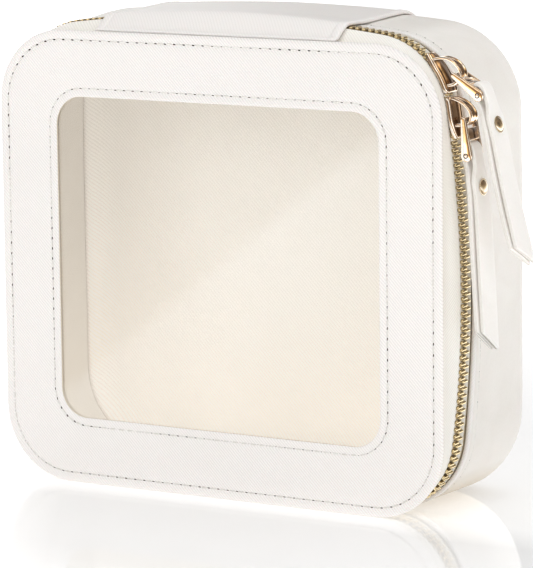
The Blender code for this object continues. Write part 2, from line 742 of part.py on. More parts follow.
def make_strap(name, bar, tilt, gap, end):
    """A folded strap hung on a bar. Returns the rivet's middle and the strap's
    outward direction."""
    place = side_frame(bar, tilt)
    bm = bmesh.new()
    rows = []
    for u_near, v_near, u_far, v_far, half in strap_path(gap, end):
        rows.append((bm.verts.new(place @ (Vector((u_near, v_near, -half)) * MM)),
                     bm.verts.new(place @ (Vector((u_far, v_far, half)) * MM))))
    for (a, b), (c, d) in zip(rows, rows[1:]):
        bm.faces.new((a, b, d, c))
    obj = object_from_bmesh(name, bm, LEATHER)
    smooth_shade(obj.data, angle=40.0)
    solidify(obj, "leather", STRAP_T, offset=0.0)

    # rivet hole through both layers
    middle = Vector((gap_offset(gap, RIVET_V), RIVET_V, 0))
    reach = Vector((HOLE_HALF_L, 0, 0))
    hole = rod(name + "_hole", place @ ((middle - reach) * MM), place @ ((middle + reach) * MM),
               HOLE_R)
    hole.hide_render = True
    hole.display_type = "WIRE"
    cut = obj.modifiers.new("cut", "BOOLEAN")
    cut.operation = "DIFFERENCE"
    cut.solver = "EXACT"
    cut.object = hole
    return place @ (middle * MM), (place.to_3x3() @ Vector((1, 0, 0))).normalized()


# ============================================================ rivets
# (radius, height); heights run outward from the middle between the strap layers
RIVET_CAP = [(0.0, 3.75), (1.2, 3.65), (2.3, 3.3), (3.1, 2.85), (3.5, 2.45), (3.5, 2.3),
             (1.2, 2.3), (1.2, -2.1), (0.0, -2.1)]
RIVET_BACK = [(0.0, -2.35), (3.0, -2.35), (3.0, -2.6), (2.2, -2.9), (0.0, -3.05)]


def turned(name, profile, at, axis, finish, steps=20):
    """A turned piece: a profile screwed about its axis."""
    bm = bmesh.new()
    verts = [bm.verts.new((radius * MM, 0, height * MM)) for radius, height in profile]
    for a, b in zip(verts, verts[1:]):
        bm.edges.new((a, b))
    obj = object_from_bmesh(name, bm, finish)
    mod = obj.modifiers.new("turn", "SCREW")
    mod.steps = steps
    mod.render_steps = steps
    mod.use_merge_vertices = True
    mod.merge_threshold = 0.00001
    mod.use_smooth_shade = True
    obj.matrix_world = Matrix.Translation(at) @ axis.to_track_quat("Z", "Y").to_matrix().to_4x4()


# ============================================================ joints
def joint(name, at, children):
    """An empty at a joint's centre (in metres) that carries the named pieces."""
    empty = bpy.data.objects.new(name, None)
    empty.empty_display_size = 0.01
    scene.collection.objects.link(empty)
    empty.location = at
    bpy.context.view_layer.update()
    for child in (bpy.data.objects[n] for n in children):
        world = child.matrix_world.copy()
        child.parent = empty
        child.matrix_parent_inverse = empty.matrix_world.inverted()
        child.matrix_world = world


def build_slider_set(tag, bend, arc, arch_middle, arch_lean, pivot, pull_length, pull_tilt,
                     strap_tilt, gap, strap_end):
    """A slider with its pull, strap and rivet.

    arc: the part of the section it stands on; pivot: the pull's pivot in slider
    space; pull_length: pivot bar to strap bar; tilts: outward from straight
    down; strap_end: length below the bar at the near (-Y) and far (+Y) edges."""
    slider, pull, strap = "slider_" + tag, "bail_" + tag, "strap_" + tag
    cap, back = "rivet_cap_" + tag, "rivet_back_" + tag
    pivot_at = bend(*pivot) * MM
    make_slider(slider, bend, arch_middle, arch_lean)
    bar_at = make_pull(pull, pivot_at, pull_length, pull_tilt)
    rivet_at, outward = make_strap(strap, bar_at, strap_tilt, gap, strap_end)
    turned(cap, RIVET_CAP, rivet_at, outward, RIVET_BRASS)
    turned(back, RIVET_BACK, rivet_at, outward, RIVET_BRASS)
    joint(slider + "_axis", (arc.centre[0] * MM, HINGE_Y * MM, arc.centre[1] * MM), [slider])
    joint(pull + "_axis", pivot_at, [pull])
    joint(strap + "_axis", bar_at, [strap, cap, back])


build_lid()
build_chain()
build_body()
build_hinge()
joint("lid_hinge_axis", (0, HINGE_Y * MM, HINGE_Z * MM),
      ["lid_face", "window_sheet", "lid_board", "lid_lining", "lid_gusset", "zipper_tape_lid",
       "lid_gusset_lining", "zipper_teeth_lid", "end_stop_right_lid", "end_stop_left_lid",
       "hinge_leather_lid"])
build_slider_set("upper", bend_upper, CORNER, arch_middle=-0.2, arch_lean=-0.3,
                 pivot=(-3.8, 0.0, 8.9), pull_length=13.6, pull_tilt=55.0,
                 strap_tilt=16.0, gap=GAP_UPPER, strap_end=(64.5, 73.3))
build_slider_set("lower", bend_lower, SIDE, arch_middle=-2.5, arch_lean=0.3,
                 pivot=(1.3, 0.0, 8.6), pull_length=15.0, pull_tilt=5.5,
                 strap_tilt=3.5, gap=GAP_LOWER, strap_end=(73.5, 82.8))
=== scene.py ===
"""A zipped leather case that stands upright, with a clear window in its lid.

The case stands on z = 0, centred on x = 0. The lid is its front (-y), the back
panel its back (+y). A leather hinge joins the two across the top. The zip runs
from the hinge's right end (+x) down, under the case and up to the left end. Two
sliders sit on the right side, each with a pull, a leather strap and a rivet.
Lengths are in millimetres until vertices are made, when MM turns them to metres.
"""

import math
from bisect import bisect_right
from collections import namedtuple

import bmesh
import bpy
from mathutils import Matrix, Vector, noise


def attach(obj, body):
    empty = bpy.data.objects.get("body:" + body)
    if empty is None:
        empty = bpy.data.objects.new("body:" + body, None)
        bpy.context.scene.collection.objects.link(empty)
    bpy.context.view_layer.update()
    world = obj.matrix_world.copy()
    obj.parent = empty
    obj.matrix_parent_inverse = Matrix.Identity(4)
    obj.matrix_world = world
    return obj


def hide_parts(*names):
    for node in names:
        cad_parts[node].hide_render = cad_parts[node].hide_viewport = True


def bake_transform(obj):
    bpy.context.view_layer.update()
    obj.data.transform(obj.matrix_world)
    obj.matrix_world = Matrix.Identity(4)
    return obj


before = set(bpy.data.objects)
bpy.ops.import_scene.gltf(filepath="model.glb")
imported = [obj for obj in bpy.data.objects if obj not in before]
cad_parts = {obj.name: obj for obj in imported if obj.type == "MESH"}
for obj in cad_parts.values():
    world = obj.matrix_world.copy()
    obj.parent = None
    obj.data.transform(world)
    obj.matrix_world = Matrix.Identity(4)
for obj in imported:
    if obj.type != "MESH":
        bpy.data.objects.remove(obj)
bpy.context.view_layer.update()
MM = 0.001

# ================================================================== dimensions
PANEL_W, PANEL_H, PANEL_R = 220.0, 201.0, 32.4
WINDOW_W, WINDOW_H, WINDOW_R, WINDOW_Z = 160.5, 142.5, 12.8, 100.8

# A cross-section of the case at one y: a bowed top and sides, two corner
# radii and a flat floor. side_z is the height of the side arc's centre.
Section = namedtuple("Section", "half_width side_radius side_z top_z top_radius "
                                "upper_corner lower_corner floor_z")
FLAT = 60000.0                          # a radius so large that the side looks straight
SEC_PANEL = Section(PANEL_W / 2, FLAT, PANEL_H / 2, PANEL_H, FLAT, PANEL_R, PANEL_R, 0.0)
SEC_CHAIN = Section(113.4, 470.0, 95.0, 208.9, 620.0, 34.6, 34.2, 1.4)
SEC_RIM = Section(114.0, 620.0, 97.0, 208.9, 640.0, 36.5, 36.0, 0.0)
SEC_BODY = Section(114.2, 9000.0, 100.0, 209.3, 900.0, 38.5, 38.0, 0.0)
SECTION_COUNTS = (26, 18, 34, 18, 26)   # points on top, corner, side, corner, floor
CHAIN_COUNTS = (60, 60, 60, 60, 30)
RECT_COUNTS = (30, 16, 28)              # points on half the top, a corner, a side

# Places along y, from front to back
LID_BLEND_START, LID_BLEND_END = -36.1, -28.9   # panel section swells to chain section
HINGE_Y = -24.4                                 # middle of the zip
CHAIN_BACK_Y, RIM_Y = -20.6, -17.2
BACK_Y, BACK_FILLET = 40.0, 18.0
FILLET_Y = BACK_Y - BACK_FILLET
WALL_T = 1.25

TEETH_MID, TEETH_PITCH = 1.375, 3.1     # inset of the chain's middle line, spacing
CHAIN_END_X = 55.0
SLIDER_L, MOUTH_RISE = 17.5, 3.0


# ================================================================ section maths
def clamp01(value):
    return min(max(value, 0.0), 1.0)


def smooth_step(t):
    return t * t * (3 - 2 * t)


def circle_meet(first, first_radius, second, second_radius):
    """Where two circles meet, taking the point farther up and to the right."""
    step_x, step_z = second[0] - first[0], second[1] - first[1]
    apart = math.hypot(step_x, step_z)
    along = (apart * apart + first_radius ** 2 - second_radius ** 2) / (2 * apart)
    aside = math.sqrt(max(first_radius ** 2 - along * along, 0.0))
    unit_x, unit_z = step_x / apart, step_z / apart
    both = [(first[0] + along * unit_x + sign * aside * unit_z,
             first[1] + along * unit_z - sign * aside * unit_x) for sign in (1, -1)]
    return max(both, key=lambda point: point[0] + point[1])


def blend_sections(first, second, t):
    """Mix two sections; the large radii mix by curvature."""
    return Section(*(1.0 / ((1 - t) / a + t / b) if field in ("side_radius", "top_radius")
                     else (1 - t) * a + t * b
                     for field, a, b in zip(Section._fields, first, second)))


def shrink(sec, inset):
    return Section(sec.half_width - inset, sec.side_radius - inset, sec.side_z,
                   sec.top_z - inset, sec.top_radius - inset, sec.upper_corner - inset,
                   sec.lower_corner - inset, sec.floor_z + inset)


def arcs(sec, inset=0.0):
    """Right half as arcs (centre, radius, start angle, end angle); angles run
    clockwise from straight up. The floor is its right end point."""
    sec = shrink(sec, inset)
    side = (sec.half_width - sec.side_radius, sec.side_z)
    top = (0.0, sec.top_z - sec.top_radius)
    upper = circle_meet(side, sec.side_radius - sec.upper_corner,
                        top, sec.top_radius - sec.upper_corner)
    lower_z = sec.floor_z + sec.lower_corner
    reach = (sec.side_radius - sec.lower_corner) ** 2 - (lower_z - sec.side_z) ** 2
    lower = (side[0] + math.sqrt(reach), lower_z)
    top_end = math.atan2(upper[0] - top[0], upper[1] - top[1])
    side_start = math.atan2(upper[0] - side[0], upper[1] - side[1])
    side_end = math.atan2(lower[0] - side[0], lower[1] - side[1])
    return {"top": (top, sec.top_radius, 0.0, top_end),
            "upper": (upper, sec.upper_corner, top_end, side_start),
            "side": (side, sec.side_radius, side_start, side_end),
            "lower": (lower, sec.lower_corner, side_end, math.pi),
            "floor": (lower[0], sec.floor_z)}


def half_section(sec, inset=0.0, counts=SECTION_COUNTS):
    """Points from the top middle, down the right side, to the floor middle."""
    shape = arcs(sec, inset)
    points = []
    for key, count in zip(("top", "upper", "side", "lower"), counts):
        centre, radius, start, end = shape[key]
        for i in range(count):
            angle = start + (end - start) * i / count
            points.append((centre[0] + radius * math.sin(angle),
                           centre[1] + radius * math.cos(angle)))
    x, z = shape["floor"]
    return points + [(x * (1 - i / counts[4]), z) for i in range(counts[4] + 1)]


def mirrored(right):
    """Close a right-hand half outline with its mirror image."""
    return right + [(-x, z) for x, z in reversed(right[1:-1])]


def section(sec, inset=0.0):
    return mirrored(half_section(sec, inset))


def lid_section(y):
    t = (y - LID_BLEND_START) / (LID_BLEND_END - LID_BLEND_START)
    return blend_sections(shrink(SEC_PANEL, 0.9), shrink(SEC_CHAIN, -0.1), min(max(t, 0.0), 1.1))


def body_section(y):
    t = clamp01((y - RIM_Y) / (FILLET_Y - RIM_Y))
    return blend_sections(SEC_RIM, SEC_BODY, smooth_step(t))


def top_height(sec, x, inset=0.0):
    centre, radius, _, _ = arcs(sec, inset)["top"]
    return centre[1] + math.sqrt(radius * radius - x * x)


def rounded_rect(width, height, radius, middle_z):
    """A rounded rectangle as a closed loop from the top middle, clockwise."""
    across, corner, side = RECT_COUNTS
    half_w, half_h = width / 2, height / 2
    angles = [math.pi / 2 * i / corner for i in range(corner)]
    right = [((half_w - radius) * i / across, middle_z + half_h) for i in range(across)]
    right += [(half_w - radius + radius * math.sin(angle),
               middle_z + half_h - radius + radius * math.cos(angle)) for angle in angles]
    right += [(half_w, middle_z + half_h - radius - (height - 2 * radius) * i / side)
              for i in range(side)]
    right += [(half_w - radius + radius * math.cos(angle),
               middle_z - half_h + radius - radius * math.sin(angle)) for angle in angles]
    right += [((half_w - radius) * (1 - i / across), middle_z - half_h)
              for i in range(across + 1)]
    return mirrored(right)


# =================================================================== materials
BLACK_RGB, WHITE_RGB = (0, 0, 0), (1, 1, 1)


class Nodes:
    """Builds the node tree of a material or world. An input takes a plain
    value or the socket that feeds it."""

    def __init__(self, owner, output="ShaderNodeOutputMaterial"):
        self.owner = owner
        owner.use_nodes = True
        self.tree = owner.node_tree
        self.tree.nodes.clear()
        self.output = self.tree.nodes.new(output)

    def add(self, kind, inputs=None, **props):
        node = self.tree.nodes.new(kind)
        for name, value in props.items():
            setattr(node, name, value)
        for key, value in (inputs or {}).items():
            if isinstance(value, bpy.types.NodeSocket):
                self.tree.links.new(value, node.inputs[key])
            else:
                node.inputs[key].default_value = value
        return node

    def coords(self, kind):
        return self.add("ShaderNodeTexCoord").outputs[kind]

    def xyz(self, vector):
        return self.add("ShaderNodeSeparateXYZ", {0: vector}).outputs

    def noise(self, vector, **inputs):
        return self.add("ShaderNodeTexNoise", {"Vector": vector, **inputs}).outputs["Fac"]

    def wave(self, vector, inputs, axis="X"):
        return self.add("ShaderNodeTexWave", {"Vector": vector, **inputs},
                        bands_direction=axis).outputs["Fac"]

    def math(self, operation, first, second=0.0, clamp=False):
        return self.add("ShaderNodeMath", {0: first, 1: second}, operation=operation,
                        use_clamp=clamp).outputs[0]

    def plus(self, first, second, clamp=False):
        return self.math("ADD", first, second, clamp)

    def minus(self, first, second, clamp=False):
        return self.math("SUBTRACT", first, second, clamp)

    def times(self, first, second, clamp=False):
        return self.math("MULTIPLY", first, second, clamp)

    def ramp(self, factor, stops):
        node = self.add("ShaderNodeValToRGB", {0: factor})
        elements = node.color_ramp.elements
        while len(elements) < len(stops):
            elements.new(0.5)
        for element, (position, color) in zip(elements, stops):
            element.position = position
            element.color = (*color, 1.0)
        return node.outputs[0]

    def mix(self, factor, first, second, blend="MIX"):
        first, second = (color if isinstance(color, bpy.types.NodeSocket) else (*color, 1.0)
                         for color in (first, second))
        return self.add("ShaderNodeMix", {0: factor, 6: first, 7: second},
                        data_type="RGBA", blend_type=blend).outputs[2]

    def bump(self, height, strength, distance, **inputs):
        return self.add("ShaderNodeBump", {"Height": height, "Strength": strength,
                                           "Distance": distance, **inputs}).outputs[0]

    def grade(self, glow):
        """Bounce light: one number, or (amount, change with z, change with x)."""
        if not isinstance(glow, tuple):
            return glow
        amount, per_z, per_x = glow
        place = self.xyz(self.coords("Object"))
        total = self.plus(amount, self.times(place["Z"], per_z))
        total = self.plus(total, self.times(place["X"], per_x))
        return self.math("MAXIMUM", total, 0.02)

    def crevices(self, distance, samples, reach):
        """White where a face is shut in by its neighbours, fading over reach."""
        open_sky = self.add("ShaderNodeAmbientOcclusion", {"Distance": distance},
                            samples=samples).outputs["AO"]
        return self.ramp(open_sky, [(reach[0], WHITE_RGB), (reach[1], BLACK_RGB)])

    def corners(self, color, base):
        """Painted shade: darken the line where two lined faces meet."""
        shut_in = self.crevices(distance=0.0022, samples=4, reach=(0.45, 0.85))
        return self.mix(self.times(shut_in, 0.75), color, tint(base, (0.62, 0.56, 0.50)))

    def done(self, shader):
        self.tree.links.new(shader, self.output.inputs[0])
        return self.owner

    def principled(self, inputs):
        return self.done(self.add("ShaderNodeBsdfPrincipled", inputs).outputs[0])


def new_material(name):
    return Nodes(bpy.data.materials.new(name))


def tint(color, factors):
    return tuple(part * factor for part, factor in zip(color, factors))


def wave_scale(pitch):
    """Wave texture scale that repeats every pitch units."""
    return 2 * math.pi / (20 * pitch)


# Leather and cloth patterns read a UV map in millimetres; depth is in mm too.
def crosshatch_leather(name, base, dark, rough=0.46, depth=0.06, pitch=1.1, glow=0.0,
                       hatch=0.75, dark_corners=False):
    """Leather embossed with two crossing sets of fine diagonal lines."""
    nodes = new_material(name)
    uv = nodes.coords("UV")
    lines = []
    for angle, density, distortion in ((-44.0, 1.0, 0.7), (43.0, 1.2, 0.9)):
        turned = nodes.add("ShaderNodeMapping",
                           {"Vector": uv, "Rotation": (0, 0, math.radians(angle))})
        lines.append(nodes.wave(turned.outputs[0], {
            "Scale": wave_scale(pitch) * density, "Distortion": distortion,
            "Detail": 2.0, "Detail Scale": 1.5}))
    # height: strong lines, weaker crossing lines, then grain
    height = nodes.times(lines[0], 0.68)
    height = nodes.plus(height, nodes.times(lines[1], 0.32))
    grain = nodes.noise(uv, Scale=2.6, Detail=3.0, Roughness=0.6)
    height = nodes.plus(height, nodes.times(grain, 0.35))
    patches = nodes.noise(uv, Scale=0.02, Detail=3.0)
    color = nodes.ramp(nodes.plus(nodes.times(height, 0.5), nodes.times(patches, 0.5)),
                       [(0.2, dark), (0.72, base)])
    # painted shade: the grooves of the strong lines are darkened, as much as hatch sets
    grooves = nodes.ramp(lines[0], [(0.08, WHITE_RGB), (0.55, BLACK_RGB)])
    color = nodes.mix(nodes.times(grooves, hatch), color, tint(base, (0.84,) * 3))
    if dark_corners:
        color = nodes.corners(color, base)
    # painted shade: hollow edges are slightly darker
    edge = nodes.add("ShaderNodeNewGeometry").outputs["Pointiness"]
    hollow_shade = nodes.ramp(edge, [(0.40, (0.82, 0.80, 0.77)), (0.5, WHITE_RGB), (0.62, WHITE_RGB)])
    color = nodes.mix(0.5, color, hollow_shade, "MULTIPLY")
    # raised parts are smoother
    roughness = nodes.plus(rough, nodes.times(nodes.minus(height, 0.6), -0.16))
    return nodes.principled({
        "Base Color": color, "Roughness": roughness, "Specular IOR Level": 0.42,
        "Normal": nodes.bump(height, strength=1.0, distance=depth * MM),
        "Sheen Weight": 0.03, "Coat Weight": 0.05, "Coat Roughness": 0.35,
        "Subsurface Weight": 0.04, "Subsurface Scale": 0.002,
        "Emission Color": color, "Emission Strength": nodes.grade(glow)})


def soft_leather(name, base, dark, rough=0.44, depth=0.05, shade=0.0, glow=0.0):
    """Smooth leather with a very fine pebble and faint creases; painted shade
    darkens it towards the floor."""
    nodes = new_material(name)
    uv = nodes.coords("UV")
    cells = nodes.add("ShaderNodeTexVoronoi", {"Vector": uv, "Scale": 1.5, "Randomness": 1.0},
                      feature="SMOOTH_F1").outputs["Distance"]
    fine = nodes.noise(uv, Scale=0.9, Detail=5.0, Roughness=0.62)
    crease = nodes.noise(uv, Scale=0.06, Detail=4.0, Distortion=0.6)
    pebble = nodes.plus(nodes.times(cells, -0.35), nodes.times(fine, 0.9))
    color = nodes.ramp(nodes.plus(nodes.times(fine, 0.4), nodes.times(crease, 0.6)),
                       [(0.3, dark), (0.65, base)])
    if shade:
        # painted floor shade: 1 at the floor, 0 from 1/60 m up
        z = nodes.xyz(nodes.coords("Object"))["Z"]
        low = nodes.minus(1.0, nodes.times(z, 60.0), clamp=True)
        color = nodes.mix(nodes.times(low, shade), color, tint(base, (0.74, 0.66, 0.52)))
    creased = nodes.bump(crease, strength=0.5, distance=0.5 * MM)
    normal = nodes.bump(pebble, strength=1.0, distance=depth * MM, Normal=creased)
    roughness = nodes.plus(rough, nodes.times(nodes.minus(fine, 0.5), 0.15))
    return nodes.principled({
        "Base Color": color, "Roughness": roughness, "Normal": normal,
        "Specular IOR Level": 0.4, "Coat Weight": 0.06, "Coat Roughness": 0.3,
        "Subsurface Weight": 0.04, "Subsurface Scale": 0.002,
        "Emission Color": color, "Emission Strength": glow})


def cloth(name, base, dark, pitch=0.45, depth=0.05, rough=0.85, glow=0.0, dark_corners=False):
    """A plain weave."""
    nodes = new_material(name)
    uv = nodes.coords("UV")
    threads = {"Scale": wave_scale(pitch), "Distortion": 0.4}
    weave = nodes.times(nodes.wave(uv, threads, "X"), nodes.wave(uv, threads, "Y"))
    patches = nodes.noise(uv, Scale=0.15, Detail=4.0)
    color = nodes.ramp(nodes.plus(nodes.times(weave, 0.6), nodes.times(patches, 0.4)),
                       [(0.15, dark), (0.7, base)])
    if dark_corners:
        color = nodes.corners(color, base)
    return nodes.principled({
        "Base Color": color, "Roughness": rough,
        "Normal": nodes.bump(weave, strength=1.0, distance=depth * MM),
        "Sheen Weight": 0.25, "Sheen Roughness": 0.5, "Specular IOR Level": 0.2,
        "Emission Color": color, "Emission Strength": nodes.grade(glow)})


def gold(name, stops, dark, rough=0.16, recess_shade=0.5, shine=0.7, turns=2.6, reach=(0.2, 0.75),
         edges=0.35):
    """Polished plating with painted reflections: the colour, which also glows, follows
    the reflected direction through bands of light and dark studio cards; recesses get painted
    shade."""
    nodes = new_material(name)
    coords = nodes.add("ShaderNodeTexCoord").outputs
    fine = nodes.noise(coords["Object"], Scale=900.0, Detail=4.0)
    broad = nodes.noise(coords["Object"], Scale=160.0, Detail=3.0)
    # painted reflection: a slanted direction through the reflections, made uneven by noise
    mirror = nodes.xyz(coords["Reflection"])
    sweep_by = nodes.plus(nodes.times(mirror["Z"], 1.25), nodes.times(mirror["X"], 0.85))
    sweep_by = nodes.plus(sweep_by, nodes.times(mirror["Y"], 0.55))
    sweep_by = nodes.plus(sweep_by, nodes.times(broad, 0.22))
    card = nodes.math("SINE", nodes.times(sweep_by, turns))
    card = nodes.plus(nodes.times(card, 0.5), 0.5)
    color = nodes.ramp(card, stops)
    # painted shade: recesses are darkened towards the dark colour
    recess = nodes.crevices(distance=0.0018, samples=6, reach=reach)
    color = nodes.mix(nodes.times(recess, recess_shade), color, dark)
    # painted highlight: sharp edges are brightened towards the brightest colour
    pointed = nodes.add("ShaderNodeNewGeometry").outputs["Pointiness"]
    edge_highlight = nodes.ramp(pointed, [(0.51, BLACK_RGB), (0.60, WHITE_RGB)])
    color = nodes.mix(nodes.times(edge_highlight, edges), color, stops[-1][1])
    roughness = nodes.plus(rough, nodes.times(fine, 0.08))
    return nodes.principled({
        "Base Color": nodes.mix(0.15, color, stops[2][1]), "Metallic": 1.0,
        "Roughness": roughness, "Emission Color": color, "Emission Strength": shine,
        "Normal": nodes.bump(fine, strength=0.2, distance=0.01 * MM)})


def plain(name, base, dark, rough=0.7, scale=1500.0, depth=0.02):
    """Thread or painted edge: a colour that varies, with a fine bump."""
    nodes = new_material(name)
    place = nodes.coords("Object")
    fine = nodes.noise(place, Scale=scale, Detail=3.0)
    broad = nodes.noise(place, Scale=scale * 0.1, Detail=2.0)
    color = nodes.ramp(nodes.plus(nodes.times(fine, 0.5), nodes.times(broad, 0.5)),
                       [(0.3, dark), (0.65, base)])
    return nodes.principled({
        "Base Color": color, "Roughness": rough,
        "Normal": nodes.bump(fine, strength=0.6, distance=depth * MM)})


def film_material():
    """Clear film with a diagonal streak of painted glare, sharp above and soft below."""
    glare_slope = 0.77                   # rise of the streak per unit of x
    nodes = new_material("clear_film")
    place = nodes.coords("Object")
    ripple = nodes.noise(place, Scale=14.0, Detail=2.0)
    normal = nodes.bump(ripple, strength=0.35, distance=1.5 * MM)
    fresnel = nodes.add("ShaderNodeFresnel", {"IOR": 1.42, "Normal": normal}).outputs[0]
    glossy = nodes.add("ShaderNodeBsdfGlossy",
                       {"Color": (1, 1, 1, 1), "Roughness": 0.06, "Normal": normal})
    glare_glow = nodes.add("ShaderNodeEmission", {"Color": (1.0, 0.985, 0.95, 1), "Strength": 1.2})
    # height below the diagonal through the window's middle, in metres
    axes = nodes.xyz(place)
    line = nodes.plus(nodes.times(axes["X"], glare_slope), WINDOW_Z * MM)
    under = nodes.minus(line, axes["Z"])
    rise = nodes.times(nodes.plus(under, 0.005), 110.0, clamp=True)
    fall = nodes.times(nodes.minus(under, 0.004), 12.0, clamp=True)
    fall = nodes.minus(1.0, fall, clamp=True)
    streak = nodes.times(rise, fall)
    clear = nodes.add("ShaderNodeBsdfTransparent", {"Color": (0.985, 0.985, 0.98, 1)})
    # painted glare: a faint glow everywhere, more in the streak
    glare_amount = nodes.plus(0.012, nodes.times(streak, 0.065))
    glare_mix = nodes.add("ShaderNodeMixShader",
                     {0: glare_amount, 1: clear.outputs[0], 2: glare_glow.outputs[0]})
    film = nodes.add("ShaderNodeMixShader", {0: nodes.times(fresnel, 0.75),
                                             1: glare_mix.outputs[0], 2: glossy.outputs[0]})
    return nodes.done(film.outputs[0])


WHITE = {"base": (0.885, 0.852, 0.824), "dark": (0.82, 0.785, 0.752)}
CREAM = {"base": (0.89, 0.852, 0.80), "dark": (0.82, 0.775, 0.71)}
FRONT_LEATHER = crosshatch_leather("front_leather", **WHITE, glow=(0.18, -0.95, 0.25))
GUSSET_LEATHER = crosshatch_leather("gusset_leather", base=(0.90, 0.868, 0.81),
                                    dark=(0.81, 0.775, 0.71), hatch=0.4, glow=0.07)
TRIM_LEATHER = crosshatch_leather("trim_leather", **WHITE, rough=0.42, depth=0.02, hatch=0.10)
BACK_LEATHER = crosshatch_leather("back_leather", **WHITE)
LIP_EDGE = plain("lip_edge", base=(0.80, 0.72, 0.58), dark=(0.68, 0.60, 0.46), rough=0.6,
                 scale=900.0)
WALL_LEATHER = soft_leather("wall_leather", base=(0.845, 0.812, 0.767),
                            dark=(0.785, 0.75, 0.70), shade=0.95, glow=0.012)
STRAP_LEATHER = soft_leather("strap_leather", base=(0.91, 0.88, 0.84),
                             dark=(0.85, 0.815, 0.77), rough=0.36, depth=0.03, glow=0.04)
LINING_BACK = crosshatch_leather("lining_back", **CREAM, rough=0.6, depth=0.05, pitch=1.3,
                                 glow=(0.335, -1.35, -0.35), hatch=0.4, dark_corners=True)
LINING_CLOTH = cloth("lining_cloth", **CREAM, pitch=0.35, depth=0.02, rough=0.7,
                     glow=(0.31, -1.5, 1.2), dark_corners=True)
TAPE_CLOTH = cloth("tape_cloth", base=(0.88, 0.85, 0.78), dark=(0.74, 0.70, 0.61), pitch=0.5,
                   depth=0.08)
TEETH_GOLD = gold("teeth_gold", stops=[
    (0.0, (0.028, 0.015, 0.005)), (0.28, (0.15, 0.085, 0.024)), (0.5, (0.58, 0.37, 0.11)),
    (0.75, (0.92, 0.68, 0.30)), (1.0, (1.0, 0.93, 0.68))],
    dark=(0.022, 0.012, 0.005), rough=0.2, recess_shade=1.0, shine=0.30, turns=4.2,
    reach=(0.36, 0.88), edges=0.25)
SLIDER_GOLD = gold("slider_gold", stops=[
    (0.0, (0.028, 0.012, 0.005)), (0.24, (0.15, 0.070, 0.025)), (0.45, (0.50, 0.29, 0.12)),
    (0.66, (0.82, 0.59, 0.33)), (0.86, (1.0, 0.98, 0.93))],
    dark=(0.035, 0.015, 0.006), rough=0.10, recess_shade=0.95, shine=0.42, turns=4.0,
    reach=(0.3, 0.88), edges=0.22)
RIVET_GOLD = gold("rivet_gold", stops=[
    (0.0, (0.10, 0.06, 0.03)), (0.3, (0.22, 0.15, 0.08)), (0.55, (0.36, 0.27, 0.16)),
    (0.85, (0.62, 0.50, 0.34)), (1.0, (0.95, 0.88, 0.74))],
    dark=(0.08, 0.045, 0.02), rough=0.22, recess_shade=0.6, shine=0.35, turns=3.0)
# painted shade for the countersunk spot at the end of a pull's strap bar
COUNTERSINK_SHADE = plain("countersink_shade", base=(0.10, 0.055, 0.03), dark=(0.04, 0.02, 0.01),
                     rough=0.35, scale=2000.0)
THREAD_CREAM = plain("thread_cream", base=(0.86, 0.845, 0.81), dark=(0.74, 0.71, 0.65),
                     scale=2600.0)
THREAD_WHITE = plain("thread_white", base=(0.85, 0.83, 0.79), dark=(0.72, 0.70, 0.65),
                     rough=0.75, scale=2600.0)
# painted shade of the needle holes
NEEDLE_HOLE = plain("needle_hole", base=(0.075, 0.055, 0.038), dark=(0.03, 0.022, 0.015),
                    rough=0.95)
# painted shade: darker cloth for the tape in the groove beside the rim
GROOVE_SHADE_CLOTH = cloth("groove_shade_cloth", base=(0.60, 0.50, 0.34), dark=(0.44, 0.36, 0.23),
                     pitch=0.5)
SEAM_EDGE = plain("seam_edge", base=(0.60, 0.52, 0.36), dark=(0.45, 0.38, 0.25), rough=0.8,
                  scale=900.0)
EDGE_PAINT = plain("edge_paint", base=(0.84, 0.81, 0.76), dark=(0.74, 0.70, 0.63), rough=0.5,
                   scale=700.0)
CLEAR_FILM = film_material()


# ================================================================== mesh tools
def finish_object(name, mesh, materials, body, stands_for=(), angle=None, ride=True):
    """Turn a bmesh into an object that moves with a body. Edges sharper than
    angle degrees stay crisp."""
    bmesh.ops.recalc_face_normals(mesh, faces=mesh.faces)
    data = bpy.data.meshes.new(name)
    mesh.to_mesh(data)
    mesh.free()
    data.shade_smooth()
    if angle:
        data.set_sharp_from_angle(angle=math.radians(angle))
    obj = bpy.data.objects.new(name, data)
    bpy.context.scene.collection.objects.link(obj)
    for material in materials:
        data.materials.append(material)
    if stands_for:
        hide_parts(*stands_for)
    if ride:
        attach(obj, body)
    return obj


def running_lengths(points):
    """Length along a line of vectors up to each point."""
    lengths = [0.0]
    for start, end in zip(points, points[1:]):
        lengths.append(lengths[-1] + (end - start).length)
    return lengths


def add_rows(mesh, rings):
    return [[mesh.verts.new(Vector(point) * MM) for point in ring] for ring in rings]


def bridge(mesh, rows, mat=0, lengths=None):
    """Join closed rows of vertices with quads. lengths (around, along) are
    the UVs of the columns and rows."""
    layer = mesh.loops.layers.uv.verify() if lengths else None
    count = len(rows[0])
    faces = []
    for j, (row, following) in enumerate(zip(rows, rows[1:])):
        for i in range(count):
            after = (i + 1) % count
            face = mesh.faces.new((row[i], row[after], following[after], following[i]))
            face.material_index = mat
            faces.append(face)
            if lengths:
                corners = ((i, j), (i + 1, j), (i + 1, j + 1), (i, j + 1))
                for loop, (column, line) in zip(face.loops, corners):
                    loop[layer].uv = (lengths[0][column], lengths[1][line])
    return faces


def solid(mesh, rows, mat=0, reverse_first=True):
    """Join rows and cap both ends."""
    bridge(mesh, rows, mat)
    if reverse_first:
        caps = (rows[0][::-1], rows[-1])
    else:
        caps = (rows[0], rows[-1][::-1])
    for cap in caps:
        mesh.faces.new(cap).material_index = mat


